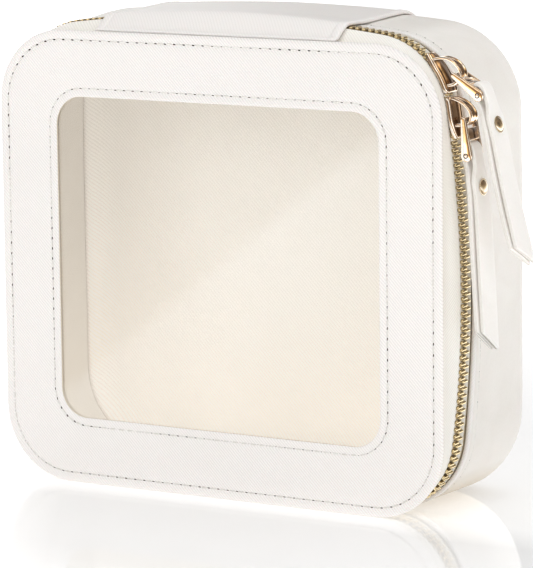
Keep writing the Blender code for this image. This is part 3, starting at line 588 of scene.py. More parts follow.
def flat_uv(mesh, axis=2):
    """UVs in mm from x and one other axis, for all faces so far."""
    layer = mesh.loops.layers.uv.verify()
    for face in mesh.faces:
        for loop in face.loops:
            point = loop.vert.co / MM
            loop[layer].uv = (point.x, point[axis])


def at_y(points, y):
    return [(x, y, z) for x, z in points]


def rings_along(outline, profile):
    """Rings for a profile of (inset, y); outline is a section or gives one for y."""
    return [at_y(section(outline(y) if callable(outline) else outline, inset), y)
            for inset, y in profile]


def sweep(rings, planar=False):
    """A closed skin through rings of points; the last ring joins the first."""
    mesh = bmesh.new()
    rows = add_rows(mesh, rings)
    rows.append(rows[0])
    if planar:
        bridge(mesh, rows)
        flat_uv(mesh)
        return mesh
    quarter = len(rings[0]) // 4
    widest = max(rings, key=lambda ring: (Vector(ring[0]) - Vector(ring[quarter])).length)
    around = running_lengths([Vector(point) for point in widest + widest[:1]])
    along = running_lengths([Vector(ring[quarter]) for ring in rings + rings[:1]])
    bridge(mesh, rows, lengths=(around, along))
    return mesh


def wobble(mesh, amp, scale, seed, only=None):
    """Push vertices along their normals by smooth noise."""
    mesh.normal_update()
    offset = Vector((seed * 3.17, seed * 1.3, seed * 7.9))
    for vert in mesh.verts:
        if only and not only(vert.co / MM):
            continue
        vert.co += vert.normal * (noise.noise(vert.co / MM * scale + offset) * amp * MM)


def disc(mesh, outline, y_at, steps):
    """A filled panel: copies of an outline scaled by steps, closed by a face."""
    heights = [point[1] for point in outline]
    middle = (max(heights) + min(heights)) / 2
    rows = [[mesh.verts.new((x * step * MM, y_at(step, x, z) * MM,
                             (middle + (z - middle) * step) * MM)) for x, z in outline]
            for step in steps]
    bridge(mesh, rows)
    mesh.faces.new(rows[-1])
    flat_uv(mesh)
    return rows


def slab(outline, first_y, first_steps, second_y, second_steps):
    """Two discs joined around their rims."""
    mesh = bmesh.new()
    first = disc(mesh, outline, first_y, first_steps)
    second = disc(mesh, outline, second_y, second_steps)
    bridge(mesh, [first[0], second[0]])
    return mesh


# =================================================================== stitching
FRONT, BACK = Vector((0, -1, 0)), Vector((0, 1, 0))

# One stitch: (share of its length, lift share, sink share, thickness)
STITCH = ((0.0, 0, -1, 0.55), (0.06, 0, -0.2, 0.9), (0.2, 0.7, 0, 1.0), (0.5, 1, 0, 1.05),
          (0.8, 0.7, 0, 1.0), (0.94, 0, -0.2, 0.9), (1.0, 0, -1, 0.55))
STITCH_SINK, STITCH_SIDES = 0.35, 6
HOLE_SIDES, HOLE_STRETCH, HOLE_SKEW = 10, 1.8, 0.3
HOLE_PROUD, HOLE_DEPTH = 0.05, 0.25


def resample(points, pitch):
    """Evenly spaced points round a closed line, nearly pitch apart."""
    points = [Vector(point) for point in points]
    points.append(points[0])
    lengths = running_lengths(points)
    count = max(2, round(lengths[-1] / pitch))
    spaced, j = [], 0
    for i in range(count):
        target = lengths[-1] * i / count
        while j < len(lengths) - 2 and lengths[j + 1] < target:
            j += 1
        span = lengths[j + 1] - lengths[j]
        share = (target - lengths[j]) / span if span > 1e-9 else 0.0
        spaced.append(points[j].lerp(points[j + 1], share))
    return spaced


def add_stitch(mesh, start, end, normal, radius, lift):
    """A loop of thread that stands a little proud and dips at both ends."""
    span = end - start
    side = span.normalized().cross(normal).normalized()
    rings = []
    for share, up, down, thick in STITCH:
        centre = start + span * share + normal * (up * lift + down * STITCH_SINK)
        ring = []
        for i in range(STITCH_SIDES):
            angle = 2 * math.pi * i / STITCH_SIDES
            around = side * math.cos(angle) + normal * math.sin(angle) * 0.8
            ring.append(centre + around * radius * thick)
        rings.append(ring)
    solid(mesh, add_rows(mesh, rings), reverse_first=False)


def add_hole(mesh, centre, normal, along, radius):
    """A dark slanted lozenge of painted shade that marks a needle hole."""
    side = along.cross(normal).normalized()
    along = normal.cross(side).normalized() * HOLE_STRETCH + side * HOLE_SKEW
    above = mesh.verts.new((centre + normal * HOLE_PROUD) * MM)
    below = mesh.verts.new((centre - normal * HOLE_DEPTH) * MM)
    ring = []
    for i in range(HOLE_SIDES):
        angle = 2 * math.pi * i / HOLE_SIDES
        around = side * math.cos(angle) + along * math.sin(angle)
        ring.append(mesh.verts.new((centre + around * radius) * MM))
    for i in range(HOLE_SIDES):
        after = (i + 1) % HOLE_SIDES
        mesh.faces.new((ring[i], ring[after], above)).material_index = 1
        mesh.faces.new((ring[after], ring[i], below)).material_index = 1


def stitch_path(name, points, normal_at, pitch, body, radius=0.3, gap=1.5,
                thread=THREAD_CREAM, hole_radius=0.37, lift=0.22):
    """A closed run of stitches with a hole between each two."""
    holes = resample(points, pitch)
    pairs = list(zip(holes, holes[1:] + holes[:1]))
    mesh = bmesh.new()
    for start, end in pairs:
        margin = (end - start).normalized() * (gap / 2)
        add_stitch(mesh, start + margin, end - margin, normal_at((start + end) / 2),
                   radius, lift)
    for start, end in pairs:
        add_hole(mesh, start, normal_at(start), (end - start).normalized(), hole_radius)
    finish_object(name, mesh, [thread, NEEDLE_HOLE], body)


# ============================================================ lid: front frame
def opening_loop(offset):
    """The window opening, grown by offset."""
    return rounded_rect(WINDOW_W + 2 * offset, WINDOW_H + 2 * offset, WINDOW_R + offset,
                        WINDOW_Z)


def edge_loop(inset):
    """The panel's outer edge, moved inwards."""
    return rounded_rect(PANEL_W - 2 * inset, PANEL_H - 2 * inset, PANEL_R - inset, PANEL_H / 2)


def middle_loop(t):
    """Between the two, t = 0 near the opening and 1 near the edge."""
    return [(a[0] + (b[0] - a[0]) * t, a[1] + (b[1] - a[1]) * t)
            for a, b in zip(opening_loop(7.0), edge_loop(7.0))]


def frame_rings(runs):
    return [at_y(loop(value), y) for loop, run in runs for value, y in run]


# Runs of (loop argument, y) round the frame's cross-section
FRAME_PROFILE = [
    (opening_loop, [
        (7.4, -37.95), (7.1, -38.75), (1.2, -38.78), (0.45, -38.84), (0.08, -39.1),
        (0.0, -39.45), (0.08, -39.75), (0.3, -39.98), (0.65, -40.1), (1.1, -40.13),
        (1.7, -40.08), (2.2, -40.02), (2.75, -39.97), (3.2, -39.88), (3.75, -39.74),
        (4.2, -39.86), (4.9, -40.0), (7.0, -40.08)]),
    (middle_loop, [(0.2, -40.12), (0.5, -40.14), (0.8, -40.12)]),
    (edge_loop, [
        (7.0, -40.08), (5.2, -40.02), (4.7, -39.88), (4.2, -39.74), (3.7, -39.88),
        (3.1, -40.0), (1.8, -40.04), (1.0, -39.98), (0.5, -39.84), (0.15, -39.55),
        (0.0, -39.15), (0.0, -38.75), (0.12, -38.4), (0.45, -38.1), (0.9, -37.98),
        (3.0, -37.95)])]


def front_frame():
    mesh = sweep(frame_rings(FRAME_PROFILE), planar=True)
    wobble(mesh, amp=0.10, scale=0.035, seed=1.0, only=lambda point: point.y < -39.6)
    for face in mesh.faces:
        x, y, z = face.calc_center_median() / MM
        if y > -38.62 and (abs(x) > 100.0 or z < 15.0 or z > 190.0):
            face.material_index = 1      # the back of the outer edge
        elif y > -39.62 and abs(x) < 100.0 and 15.0 < z < 190.0:
            face.material_index = 2      # the lip round the window
    finish_object("front_frame_leather", mesh, [FRONT_LEATHER, SEAM_EDGE, LIP_EDGE], "lid",
                  ("lid_face", "lid_board"))
    stitch_path("stitches_outer", at_y(edge_loop(4.2), -39.78), lambda point: FRONT, 4.75,
                "lid")
    stitch_path("stitches_inner", at_y(opening_loop(3.75), -39.76), lambda point: FRONT, 4.5,
                "lid")


def window_film():
    """Clear film, slightly wavy, held behind the frame."""
    steps = [1.0, 0.97, 0.93, 0.85, 0.7, 0.5, 0.3, 0.12]

    def sheet(y):
        def y_at(step, x, z):
            return y + 0.16 * noise.noise(Vector((x * step * 0.022, z * step * 0.018, 4.2)))
        return y_at

    mesh = slab(rounded_rect(172.0, 154.0, 17.5, WINDOW_Z), sheet(-38.55), steps,
                sheet(-38.15), steps)
    finish_object("window_film", mesh, [CLEAR_FILM], "lid", ("window_sheet",),
                  angle=40)


front_frame()
window_film()

# ============================================= lid: side band, lining and tape
# All profiles are (inset, y) unless a comment says otherwise.
GUSSET_PROFILE = [
    (0.55, -37.75), (0.2, -37.66), (0.0, -37.35), (0.0, -36.6), (0.0, -35.6), (0.0, -34.4),
    (0.0, -33.2), (0.0, -32.2), (0.06, -31.4), (0.2, -30.6), (0.36, -29.9), (0.42, -29.3),
    (0.52, -28.95), (0.72, -28.82), (0.95, -28.95), (1.05, -29.4), (1.0, -31.0),
    (0.95, -33.5), (0.95, -36.0), (0.95, -37.5), (0.8, -37.72)]
finish_object("lid_gusset_leather", sweep(rings_along(lid_section, GUSSET_PROFILE)),
              [GUSSET_LEATHER], "lid", ("lid_gusset",))

# A flat ring of lining behind the frame, in runs of (loop argument, y)
PAD_PROFILE = [
    (opening_loop, [(0.7, -36.7), (0.5, -36.95), (0.7, -37.2), (3.0, -37.25)]),
    (edge_loop, [(3.2, -37.25), (1.9, -37.1), (1.7, -36.8), (2.2, -36.45), (4.5, -36.3)]),
    (middle_loop, [(0.5, -36.2)]),
    (opening_loop, [(4.5, -36.3), (1.6, -36.42)])]
finish_object("lid_lining_pad", sweep(frame_rings(PAD_PROFILE), planar=True), [LINING_BACK],
              "lid", ("lid_lining",))

LINING_BAND_PROFILE = [
    (2.1, -36.1), (2.0, -35.5), (2.0, -33.0), (2.0, -31.0), (2.1, -30.0), (2.45, -29.7),
    (2.8, -30.0), (2.85, -31.5), (2.85, -34.0), (2.85, -35.6), (2.75, -36.1), (2.45, -36.2)]
finish_object("lid_lining_band", sweep(rings_along(lid_section, LINING_BAND_PROFILE)),
              [LINING_CLOTH], "lid", ("lid_gusset_lining",))


def tape_lid_section(y):
    return lid_section(y) if y < LID_BLEND_END else shrink(SEC_CHAIN, -0.1)


TAPE_LID_PROFILE = [
    (1.15, -34.2), (1.15, -32.0), (1.15, -30.0), (1.15, -28.9), (1.12, -28.3), (0.95, -27.8),
    (0.92, -27.3), (1.1, -26.95), (1.5, -26.85), (1.85, -27.1), (1.95, -27.6), (1.75, -28.1),
    (1.6, -28.6), (1.6, -30.0), (1.6, -32.0), (1.6, -34.2)]
finish_object("zipper_tape_lid_woven", sweep(rings_along(tape_lid_section, TAPE_LID_PROFILE)),
              [TAPE_CLOTH], "lid", ("zipper_tape_lid",))


# =================================================================== body tape
def tape_body_section(y):
    t = smooth_step(clamp01((y - CHAIN_BACK_Y) / 4.0))
    return blend_sections(shrink(SEC_CHAIN, 1.15), shrink(SEC_RIM, 2.3), t)


TAPE_BODY_PROFILE = [
    (0.0, -14.4), (0.0, -16.0), (0.0, -17.5), (-0.02, -18.3), (-0.3, -18.7), (-0.62, -19.15),
    (-0.74, -19.6), (-0.66, -20.1), (-0.42, -20.6), (-0.25, -21.1), (-0.2, -21.6),
    (0.0, -21.9), (0.4, -21.95), (0.7, -21.7), (0.75, -21.2), (0.5, -20.7), (0.45, -20.0),
    (0.45, -18.5), (0.45, -16.5), (0.45, -14.4)]
tape = sweep(rings_along(tape_body_section, TAPE_BODY_PROFILE))
# painted shade: faces in the groove beside the rim take the darker groove cloth
for face in tape.faces:
    if face.calc_center_median().y / MM > -18.75:
        face.material_index = 1          # the groove beside the rim
finish_object("zipper_tape_body_woven", tape, [TAPE_CLOTH, GROOVE_SHADE_CLOTH], "case_body",
              ("zipper_tape_body",))

# ================================================================ zipper chain
CHAIN_ARCS = arcs(SEC_CHAIN, TEETH_MID)


def chain_line():
    """The chain's middle line, from the right end, round the bottom, to the
    left end."""
    top, radius, _, _ = CHAIN_ARCS["top"]
    start = (CHAIN_END_X, top[1] + math.sqrt(radius ** 2 - CHAIN_END_X ** 2))
    ring = half_section(SEC_CHAIN, TEETH_MID, CHAIN_COUNTS)
    right = [start] + [(x, z) for x, z in ring if x > CHAIN_END_X + 0.2 or z < 150.0]
    return right + [(-x, z) for x, z in reversed(right[:-1])]


LINE = [Vector((x, 0, z)) for x, z in chain_line()]
LINE_LENGTHS = running_lengths(LINE)


def on_line(distance):
    """Point, direction and outward normal at a length along the chain."""
    high = min(bisect_right(LINE_LENGTHS, distance), len(LINE) - 1)
    low = high - 1
    span = max(LINE_LENGTHS[high] - LINE_LENGTHS[low], 1e-9)
    point = LINE[low].lerp(LINE[high], (distance - LINE_LENGTHS[low]) / span)
    ahead = LINE[min(high + 1, len(LINE) - 1)] - LINE[max(low - 1, 0)]
    ahead.normalize()
    return point, ahead, Vector((-ahead.z, 0, ahead.x))


# Slider coordinates: along runs from the wide mouth to the tip, across is +y
# and out points away from the case. The two mouths face each other.
CORNER_C, CORNER_R, _, CORNER_END = CHAIN_ARCS["upper"]
SIDE_C, SIDE_R, SIDE_START, _ = CHAIN_ARCS["side"]
LOWER_ANGLE = SIDE_START + (SLIDER_L / 2 - MOUTH_RISE) / SIDE_R
UPPER_ANGLE = CORNER_END - (MOUTH_RISE + 1.2 + SLIDER_L / 2) / CORNER_R


def bend_upper(along, across, out):
    """The upper slider follows the corner's arc."""
    angle = UPPER_ANGLE - along / CORNER_R
    radius = CORNER_R + out
    return Vector((CORNER_C[0] + radius * math.sin(angle), HINGE_Y + across,
                   CORNER_C[1] + radius * math.cos(angle)))


def bend_lower(along, across, out):
    """The lower slider lies straight on the side."""
    sine, cosine = math.sin(LOWER_ANGLE), math.cos(LOWER_ANGLE)
    x, z = SIDE_C[0] + SIDE_R * sine, SIDE_C[1] + SIDE_R * cosine
    return Vector((x + sine * out + cosine * along, HINGE_Y + across,
                   z + cosine * out - sine * along))


def inside_slider(point):
    for bend in (bend_upper, bend_lower):
        for along in (-7.5, -4.0, -0.5, 3.0, 6.5):
            centre = bend(along, 0, 0)
            centre.y = 0
            if (point - centre).length < 3.2:
                return True
    return False


def tooth_outline(root, neck, tip):
    """Outline in (across, along): legs, waist, then a rounded head."""
    half = [(root, 0.0), (root, 0.5), (root - 0.35, 0.70), (neck + 0.75, 0.72), (neck, 0.62),
            (neck - 0.55, 0.66), (tip + 0.55, 0.72), (tip + 0.15, 0.52), (tip, 0.22)]
    return half + [(across, -along) for across, along in reversed(half[1:])]


# A tooth is an outline and levels of (height, scale); teeth inside a slider
# are shorter and lower.
TOOTH_BASE = ((-1.0, 0.55), (-0.9, 0.82), (-0.65, 1.0))
TOOTH = (tooth_outline(root=3.7, neck=1.5, tip=-0.95),
         TOOTH_BASE + ((0.85, 1.0), (1.25, 0.9), (1.48, 0.72), (1.60, 0.42)))
SHORT_TOOTH = (tooth_outline(root=3.7, neck=2.2, tip=0.55),
               TOOTH_BASE + ((0.75, 1.0), (1.05, 0.9), (1.22, 0.72), (1.30, 0.42)))


def add_tooth(mesh, distance, side):
    point, ahead, normal = on_line(distance)
    outline, levels = SHORT_TOOTH if inside_slider(point) else TOOTH
    middle = sum(corner[0] for corner in outline) / len(outline)
    rings = []
    for height, scale in levels:
        ring = []
        for across, along in outline:
            across = middle + (across - middle) * (1 - (1 - scale) * 0.28)
            spot = point + normal * height + Vector((0, side, 0)) * across
            spot += ahead * (along * scale)
            spot.y += HINGE_Y
            ring.append(spot)
        rings.append(ring)
    solid(mesh, add_rows(mesh, rings))


# The two rows sit half a pitch apart.
tooth_count = int(LINE_LENGTHS[-1] / TEETH_PITCH)
for name, side, shift, body in (("teeth_lid", -1, 0.75, "lid"),
                                ("teeth_body", 1, 0.25, "case_body")):
    teeth = bmesh.new()
    for i in range(tooth_count):
        add_tooth(teeth, (i + shift) * LINE_LENGTHS[-1] / tooth_count, side)
    finish_object(name, teeth, [TEETH_GOLD], body, ("zipper_" + name,),
                  angle=50)

# =================================================================== case wall
RIM_PROFILE = [
    (1.75, -17.3), (1.0, -17.42), (0.45, -17.25), (0.12, -16.85), (0.0, -16.35),
    (0.02, -15.8), (0.2, -15.3), (0.5, -14.98), (0.9, -14.85), (1.75, -14.8), (1.9, -15.6),
    (1.9, -16.6)]
rim = sweep(rings_along(SEC_RIM, RIM_PROFILE))
wobble(rim, amp=0.10, scale=0.09, seed=5.0)
finish_object("body_rim_fold", rim, [TRIM_LEATHER], "case_body", ("body_rim",))


def quarter_turn(degrees, inset, start_y, across, deep):
    """Profile points that turn inwards from the wall towards the back."""
    return [(inset + across * (1 - math.cos(math.radians(angle))),
             start_y + deep * math.sin(math.radians(angle))) for angle in degrees]


# Outside of the wall behind the rim, with a shallow stitched groove
WALL_FRONT_PROFILE = [
    (1.3, -15.2), (0.85, -14.9), (0.55, -14.5), (0.42, -14.0), (0.36, -13.4), (0.34, -12.4),
    (0.42, -11.6), (0.46, -11.2), (0.42, -10.8), (0.28, -10.0), (0.12, -8.6)]
WALL_BACK_PROFILE = [(18.5, 39.9), (18.8, 39.5), (18.8, 38.9), (18.0, 38.75)]


def wall_noise(point, scales, offset):
    scaled = Vector(value * scale for value, scale in zip(point, scales))
    return noise.noise(scaled + Vector(offset))


def soften_wall(mesh):
    """Slow waves on the free span of the wall and small puckers that run in
    from the rim, almost none on the flat underside it stands on."""
    mesh.normal_update()
    for vert in mesh.verts:
        point = vert.co / MM
        if not -14.2 < point.y < 39.0:
            continue
        free = min(1.0, (point.y + 14.2) / 12.0) * min(1.0, (39.0 - point.y) / 10.0)
        low = 0.15 if point.z < 3.0 else 1.0
        waves = wall_noise(point, (0.017, 0.035, 0.017), (3.1, 0, 7.7)) * 0.5
        waves += wall_noise(point, (0.06, 0.05, 0.06), (9.1, 2, 1.7)) * 0.14
        near_rim = math.exp(-((point.y + 12.0) / 5.0) ** 2)
        puckers = wall_noise(point, (0.16, 0.03, 0.16), (1.1, 5, 2.7)) * 0.14
        vert.co += vert.normal * ((waves * free * low + puckers * near_rim * low) * MM)


def wall_shell():
    inner_fillet = BACK_FILLET - WALL_T
    rings = rings_along(body_section, WALL_FRONT_PROFILE
                        + [(0.0, y) for y in range(-6, 22, 3)])
    rings += rings_along(SEC_BODY, (
        quarter_turn(range(6, 91, 6), 0.0, FILLET_Y, BACK_FILLET, BACK_FILLET)
        + WALL_BACK_PROFILE
        + quarter_turn(range(78, 5, -12), WALL_T, FILLET_Y, inner_fillet, inner_fillet)))
    rings += rings_along(body_section, [(WALL_T, y) for y in (*range(21, -10, -6), -13.5)])
    rings += rings_along(body_section(-14.6), [(1.5, -15.0)])
    mesh = sweep(rings)
    soften_wall(mesh)
    finish_object("wall_leather_shell", mesh, [WALL_LEATHER], "case_body",
                  ("body_gusset", "body_stiffener"))


def section_normal(point):
    """Outward direction in the xz plane, rounded at the corners."""
    core = Vector((max(-76.0, min(76.0, point.x)), point.y, max(38.0, min(170.0, point.z))))
    away = point - core
    return away.normalized() if away.length > 1e-6 else Vector((0, 0, 1))


wall_shell()
stitch_path("stitches_rim", rings_along(body_section, [(0.46, -11.2)])[0], section_normal,
            4.4, "case_body", radius=0.24, gap=1.0, thread=THREAD_WHITE, hole_radius=0.28,
            lift=0.05)


# ================================================================== back panel
def back_outer_y(step, x, z):
    """A nearly flat face that rolls forwards at its rim."""
    from_rim = (1 - step) * 90.0
    ripple = noise.noise(Vector((x * step * 0.02, 3.0, z * step * 0.02)))
    return BACK_Y - 0.9 * math.exp(-from_rim / 0.8) + 0.12 * ripple


BACK_STEPS = [1.0, 0.9965, 0.99, 0.98, 0.965, 0.955, 0.94, 0.92, 0.88, 0.8, 0.65, 0.45, 0.25,
              0.1]
back_panel = slab(section(SEC_BODY, BACK_FILLET + 0.6), back_outer_y, BACK_STEPS,
                  lambda step, x, z: 38.3, [1.0, 0.6, 0.2])
finish_object("back_panel_leather", back_panel, [BACK_LEATHER], "case_body",
              ("back_panel", "back_board"))
stitch_path("stitches_back", at_y(section(SEC_BODY, BACK_FILLET + 4.2), 39.95),
            lambda point: BACK, 4.6, "case_body", radius=0.27, lift=0.2)


# ================================================================= body lining
def lining_wall():
    """Cloth on the wall's inside, rolled over at the zip and at the back seam."""
    lip = body_section(-14.0)
    rings = rings_along(lip, [(2.9, -18.6), (2.85, -17.0), (2.95, -15.0)])
    rings += rings_along(body_section, [(3.1, y) for y in range(-12, 19, 6)])
    rings += rings_along(SEC_BODY, [(3.12, 21.5), (3.3, 24.0), (3.55, 25.8), (3.5, 26.7),
                                    (3.1, 27.2), (2.6, 27.1), (2.45, 26.4), (2.35, 24.5)])
    rings += rings_along(body_section, [(2.35, y) for y in (18.0, 9.0, 0.0, -9.0, -14.0)])
    rings += rings_along(lip, [(2.4, -17.0), (2.45, -18.7), (2.7, -18.95)])
    mesh = sweep(rings)
    wobble(mesh, amp=0.18, scale=0.04, seed=8.0, only=lambda point: -12 < point.y < 34)
    finish_object("lining_wall", mesh, [LINING_CLOTH], "case_body",
                  ("body_lining",))


def lining_back():
    """The back lining turns round the fillet and meets the wall lining in a
    seam part of the way up the wall."""
    middle_z = 100.2
    profile = [(3.7, 27.35), (3.35, 27.5), (3.2, 27.9), (3.45, 28.2), (4.1, 28.5)]
    profile += quarter_turn(range(32, 91, 7), inset=3.5, start_y=22.2, across=14.5, deep=13.7)
    flat = section(SEC_BODY, 18.4)

    front = rings_along(SEC_BODY, profile)
    for step in (0.99, 0.97, 0.94, 0.9, 0.84, 0.76, 0.66, 0.54, 0.4, 0.25, 0.1):
        front.append([(x * step,
                       35.95 + 0.12 * noise.noise(Vector((x * step * 0.03, 8.0,
                                                          z * step * 0.03))),
                       middle_z + (z - middle_z) * step) for x, z in flat])
    behind = [[(x * step, 36.75, middle_z + (z - middle_z) * step) for x, z in flat]
              for step in (0.1, 0.5, 0.96)]
    behind += rings_along(SEC_BODY, [(inset - 0.7, y + 0.12)
                                     for inset, y in reversed(profile[:-2])])
    mesh = bmesh.new()
    front_rows, back_rows = add_rows(mesh, front), add_rows(mesh, behind)
    bridge(mesh, front_rows)
    bridge(mesh, back_rows)
    bridge(mesh, [back_rows[-1], front_rows[0]])
    mesh.faces.new(front_rows[-1])
    mesh.faces.new(back_rows[0])
    flat_uv(mesh)
    finish_object("lining_back", mesh, [LINING_BACK], "case_body",
                  ("back_lining",))


lining_wall()
lining_back()

# =============================================================== hinge leather
PANEL_TOP = 201.35
HINGE_T = 1.25
# Columns across x: close together at the turned edges, even between them
HINGE_EDGE_X = [-60.0, -59.7, -59.0, -58.0, -57.0, -56.5, -56.2, -55.9, -55.3]
HINGE_X = (HINGE_EDGE_X + [-54.0 + 108.0 * i / 26 for i in range(27)]
           + [-x for x in reversed(HINGE_EDGE_X)])


def hinge_height(x, y):
    """Height of what the leather rests on."""
    if y < LID_BLEND_START:
        return PANEL_TOP - 0.28
    if y < LID_BLEND_END:
        swell = 1.15 * math.exp(-((y + 33.4) / 2.6) ** 2) if y > -35.9 else 0.3
        return max(top_height(lid_section(y), x, -0.35), PANEL_TOP + 0.3) + swell
    if y < CHAIN_BACK_Y:
        return top_height(SEC_CHAIN, x, -0.62)
    if y < RIM_Y:
        t = (y - CHAIN_BACK_Y) / (RIM_Y - CHAIN_BACK_Y)
        return top_height(blend_sections(SEC_CHAIN, SEC_RIM, t), x, -0.6)
    return top_height(body_section(y), x, -0.35)


def hinge_path(x):
    """Points (y, z) from the lid's front edge to part of the way down the back
    fillet, smoothed but never sinking far."""
    path = [[y, hinge_height(x, y)] for y in (-38.95 + 0.9 * i for i in range(68))]
    for _ in range(4):
        old = [point[1] for point in path]
        for i in range(1, len(path) - 1):
            path[i][1] = max((old[i - 1] + 2 * old[i] + old[i + 1]) / 4, old[i] - 0.12)
    base = top_height(SEC_BODY, x, BACK_FILLET)
    radius = BACK_FILLET + 0.35
    for degrees in range(0, 61, 5):
        angle = math.radians(degrees)
        path.append([FILLET_Y + radius * math.sin(angle), base + radius * math.cos(angle)])
    return path


def hinge_thickness(x):
    """Thickness with the turned edge band, the dip beside it and the rounding."""
    aside = abs(x)
    band = 0.34 if aside > 56.3 else (0.16 if aside > 56.0 else 0.0)
    dip = -0.14 if 55.6 < aside <= 56.0 else 0.0
    rounding = 0.5 if aside > 59.9 else (0.84 if aside > 59.5 else 1.0)
    return (HINGE_T + (band + dip)) * rounding


def hinge_leather():
    paths = [hinge_path(x) for x in HINGE_X]
    last = len(paths[0]) - 1
    rings = []
    for j in range(last + 1):
        top, low = [], []
        is_end = j in (0, last)
        for x, path in zip(HINGE_X, paths):
            before, after = path[max(j - 1, 0)], path[min(j + 1, last)]
            ahead = Vector((0, after[0] - before[0], after[1] - before[1])).normalized()
            normal = Vector((0, -ahead.z, ahead.y))
            thickness = hinge_thickness(x) * (0.5 if is_end else 1.0)
            underside = (0.45 if abs(x) > 59.9 else 0.0) + (0.05 if is_end else 0.0)
            point = Vector((x, *path[j]))
            top.append(point + normal * thickness)
            low.append(point + normal * underside)
        rings.append(top + low[::-1])
    mesh = bmesh.new()
    solid(mesh, add_rows(mesh, rings), reverse_first=False)
    flat_uv(mesh, axis=1)
    wobble(mesh, amp=0.10, scale=0.05, seed=2.0)
    hinge = finish_object("hinge_leather", mesh, [TRIM_LEATHER], "lid",
                          ("hinge_leather_lid", "hinge_leather_body"), ride=False)
    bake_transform(hinge)


hinge_leather()

# ======================================================== sliders: shared data
# A pull hangs from its slider's arch; a strap is folded over the pull's bar.
# In a pull's or strap's frame, out points away from the case, down along the
# piece and across along +y.
# gap tables: (down, how far out the strap's middle lies)
GAP_UPPER = [(0.0, 0.0), (6.0, 0.9), (11.0, 1.2), (16.0, 1.0), (22.0, 0.6), (33.0, -0.25),
             (42.0, -0.75), (52.0, -1.1), (90.0, -1.3)]
GAP_LOWER = [(0.0, 0.0), (6.0, 1.2), (11.0, 1.8), (16.0, 2.0), (90.0, 1.9)]

# arch_middle: along; arch_lean: shift of the arch as it rises; pivot: (along,
# out); arm: length of the pull; tilts in degrees; strap_end: down at the
# front and back edge of the slanted free end; seed: noise of the strap.
SliderSet = namedtuple("SliderSet", "name bend arch_middle arch_lean pivot arm pull_tilt "
                                    "strap_tilt gap strap_end seed")
SETS = [
    SliderSet("upper", bend_upper, arch_middle=-0.2, arch_lean=-0.3, pivot=(-3.8, 8.9),
              arm=13.6, pull_tilt=55.0, strap_tilt=16.0, gap=GAP_UPPER,
              strap_end=(64.5, 73.3), seed=1.0),
    SliderSet("lower", bend_lower, arch_middle=-2.5, arch_lean=0.3, pivot=(1.3, 8.6),
              arm=15.0, pull_tilt=5.5, strap_tilt=3.5, gap=GAP_LOWER,
              strap_end=(73.5, 82.8), seed=6.0)]

# ===================================================================== sliders
SLIDER_STATIONS = [-8.75, -8.6, -8.3, -7.8, -7.0, -6.0, -4.5, -3.0, -1.5, 0.0, 1.5, 3.0, 4.5,
                   6.0, 7.0, 7.7, 8.2, 8.55, 8.75]
# (along, across) outline of the post between the plates
POST = ((-7.9, 0.0), (-7.4, 0.26), (-5.0, 0.3), (-3.0, 0.24), (-2.6, 0.0), (-3.0, -0.24),
        (-5.0, -0.3), (-7.4, -0.26))
# (across, depth below the crown) of the arch's band
ARCH_PROFILE = (
    (-3.3, 0.45), (-3.24, 0.14), (-3.0, 0.0), (-2.5, -0.08), (-2.0, 0.06), (-1.65, 0.3),
    (-0.8, 0.16), (0.0, 0.1), (0.8, 0.16), (1.65, 0.3), (2.0, 0.06), (2.5, -0.08),
    (3.0, 0.0), (3.24, 0.14), (3.3, 0.45), (3.24, 0.8), (2.9, 1.02), (1.8, 1.1),
    (0.0, 1.13), (-1.8, 1.1), (-2.9, 1.02), (-3.24, 0.8))
ARCH_STEPS, ARCH_HALF_SPAN, ARCH_RISE, ARCH_BASE = 44, 6.15, 8.45, 3.0


def plate_half(along):
    """Half width of a slider plate."""
    if along < -7.4:
        return 4.3 + 1.15 * math.sin(min(1.0, (along + 8.75) / 1.35) * math.pi / 2)
    if along < 1.0:
        return 5.45
    t = (along - 1.0) / 7.75
    return 5.45 - 2.25 * t * t - 0.2 * t


def outer_plate_profile(front, back):
    """(across, out) round the outer plate; it has a flange at the back only."""
    return [(-front, 1.62), (-front - 0.05, 2.1), (-front * 0.99, 2.75), (-front * 0.95, 3.2),
            (-front * 0.86, 3.5), (-front * 0.74, 3.62), (-front * 0.62, 3.52),
            (-front * 0.5, 3.62), (-front * 0.25, 3.78), (0, 3.82), (back * 0.25, 3.78),
            (back * 0.5, 3.62), (back * 0.62, 3.52), (back * 0.74, 3.62), (back * 0.86, 3.5),
            (back * 0.95, 3.2), (back * 0.99, 2.75), (back, 2.1), (back, 1.25),
            (back * 0.97, 1.05), (back * 0.9, 1.05), (back * 0.86, 1.4), (back * 0.85, 2.0),
            (back * 0.5, 2.06), (0, 2.06), (-front * 0.5, 2.06), (-front * 0.84, 2.06),
            (-front * 0.88, 1.8), (-front * 0.94, 1.6)]


def inner_plate_profile(front, back):
    """(across, out) round the inner plate."""
    return [(-front, -2.4), (0.0, -2.4), (back * 0.84, -2.4), (back * 0.86, -1.4),
            (back * 0.9, -1.2), (back, -1.2), (back, -2.9), (back * 0.96, -3.4),
            (back * 0.86, -3.7), (back * 0.5, -3.8), (0.0, -3.8), (-front * 0.9, -3.75),
            (-front, -3.5)]


def arch_rings(spec):
    """The arch the pull hangs on: a crowned band with rounded edges."""
    rings = []
    for i in range(ARCH_STEPS + 1):
        cosine, sine = (turn(math.pi * i / ARCH_STEPS) for turn in (math.cos, math.sin))
        foot = 1.0 + 0.12 * (abs(cosine) ** 6)          # spreads a little at its feet
        ring = []
        for across, depth in ARCH_PROFILE:
            rise = ARCH_RISE - depth
            along = (spec.arch_middle - (ARCH_HALF_SPAN - depth) * cosine
                     + spec.arch_lean * rise * sine)
            ring.append((along, across * foot, ARCH_BASE + rise * sine))
        rings.append(ring)
    return rings


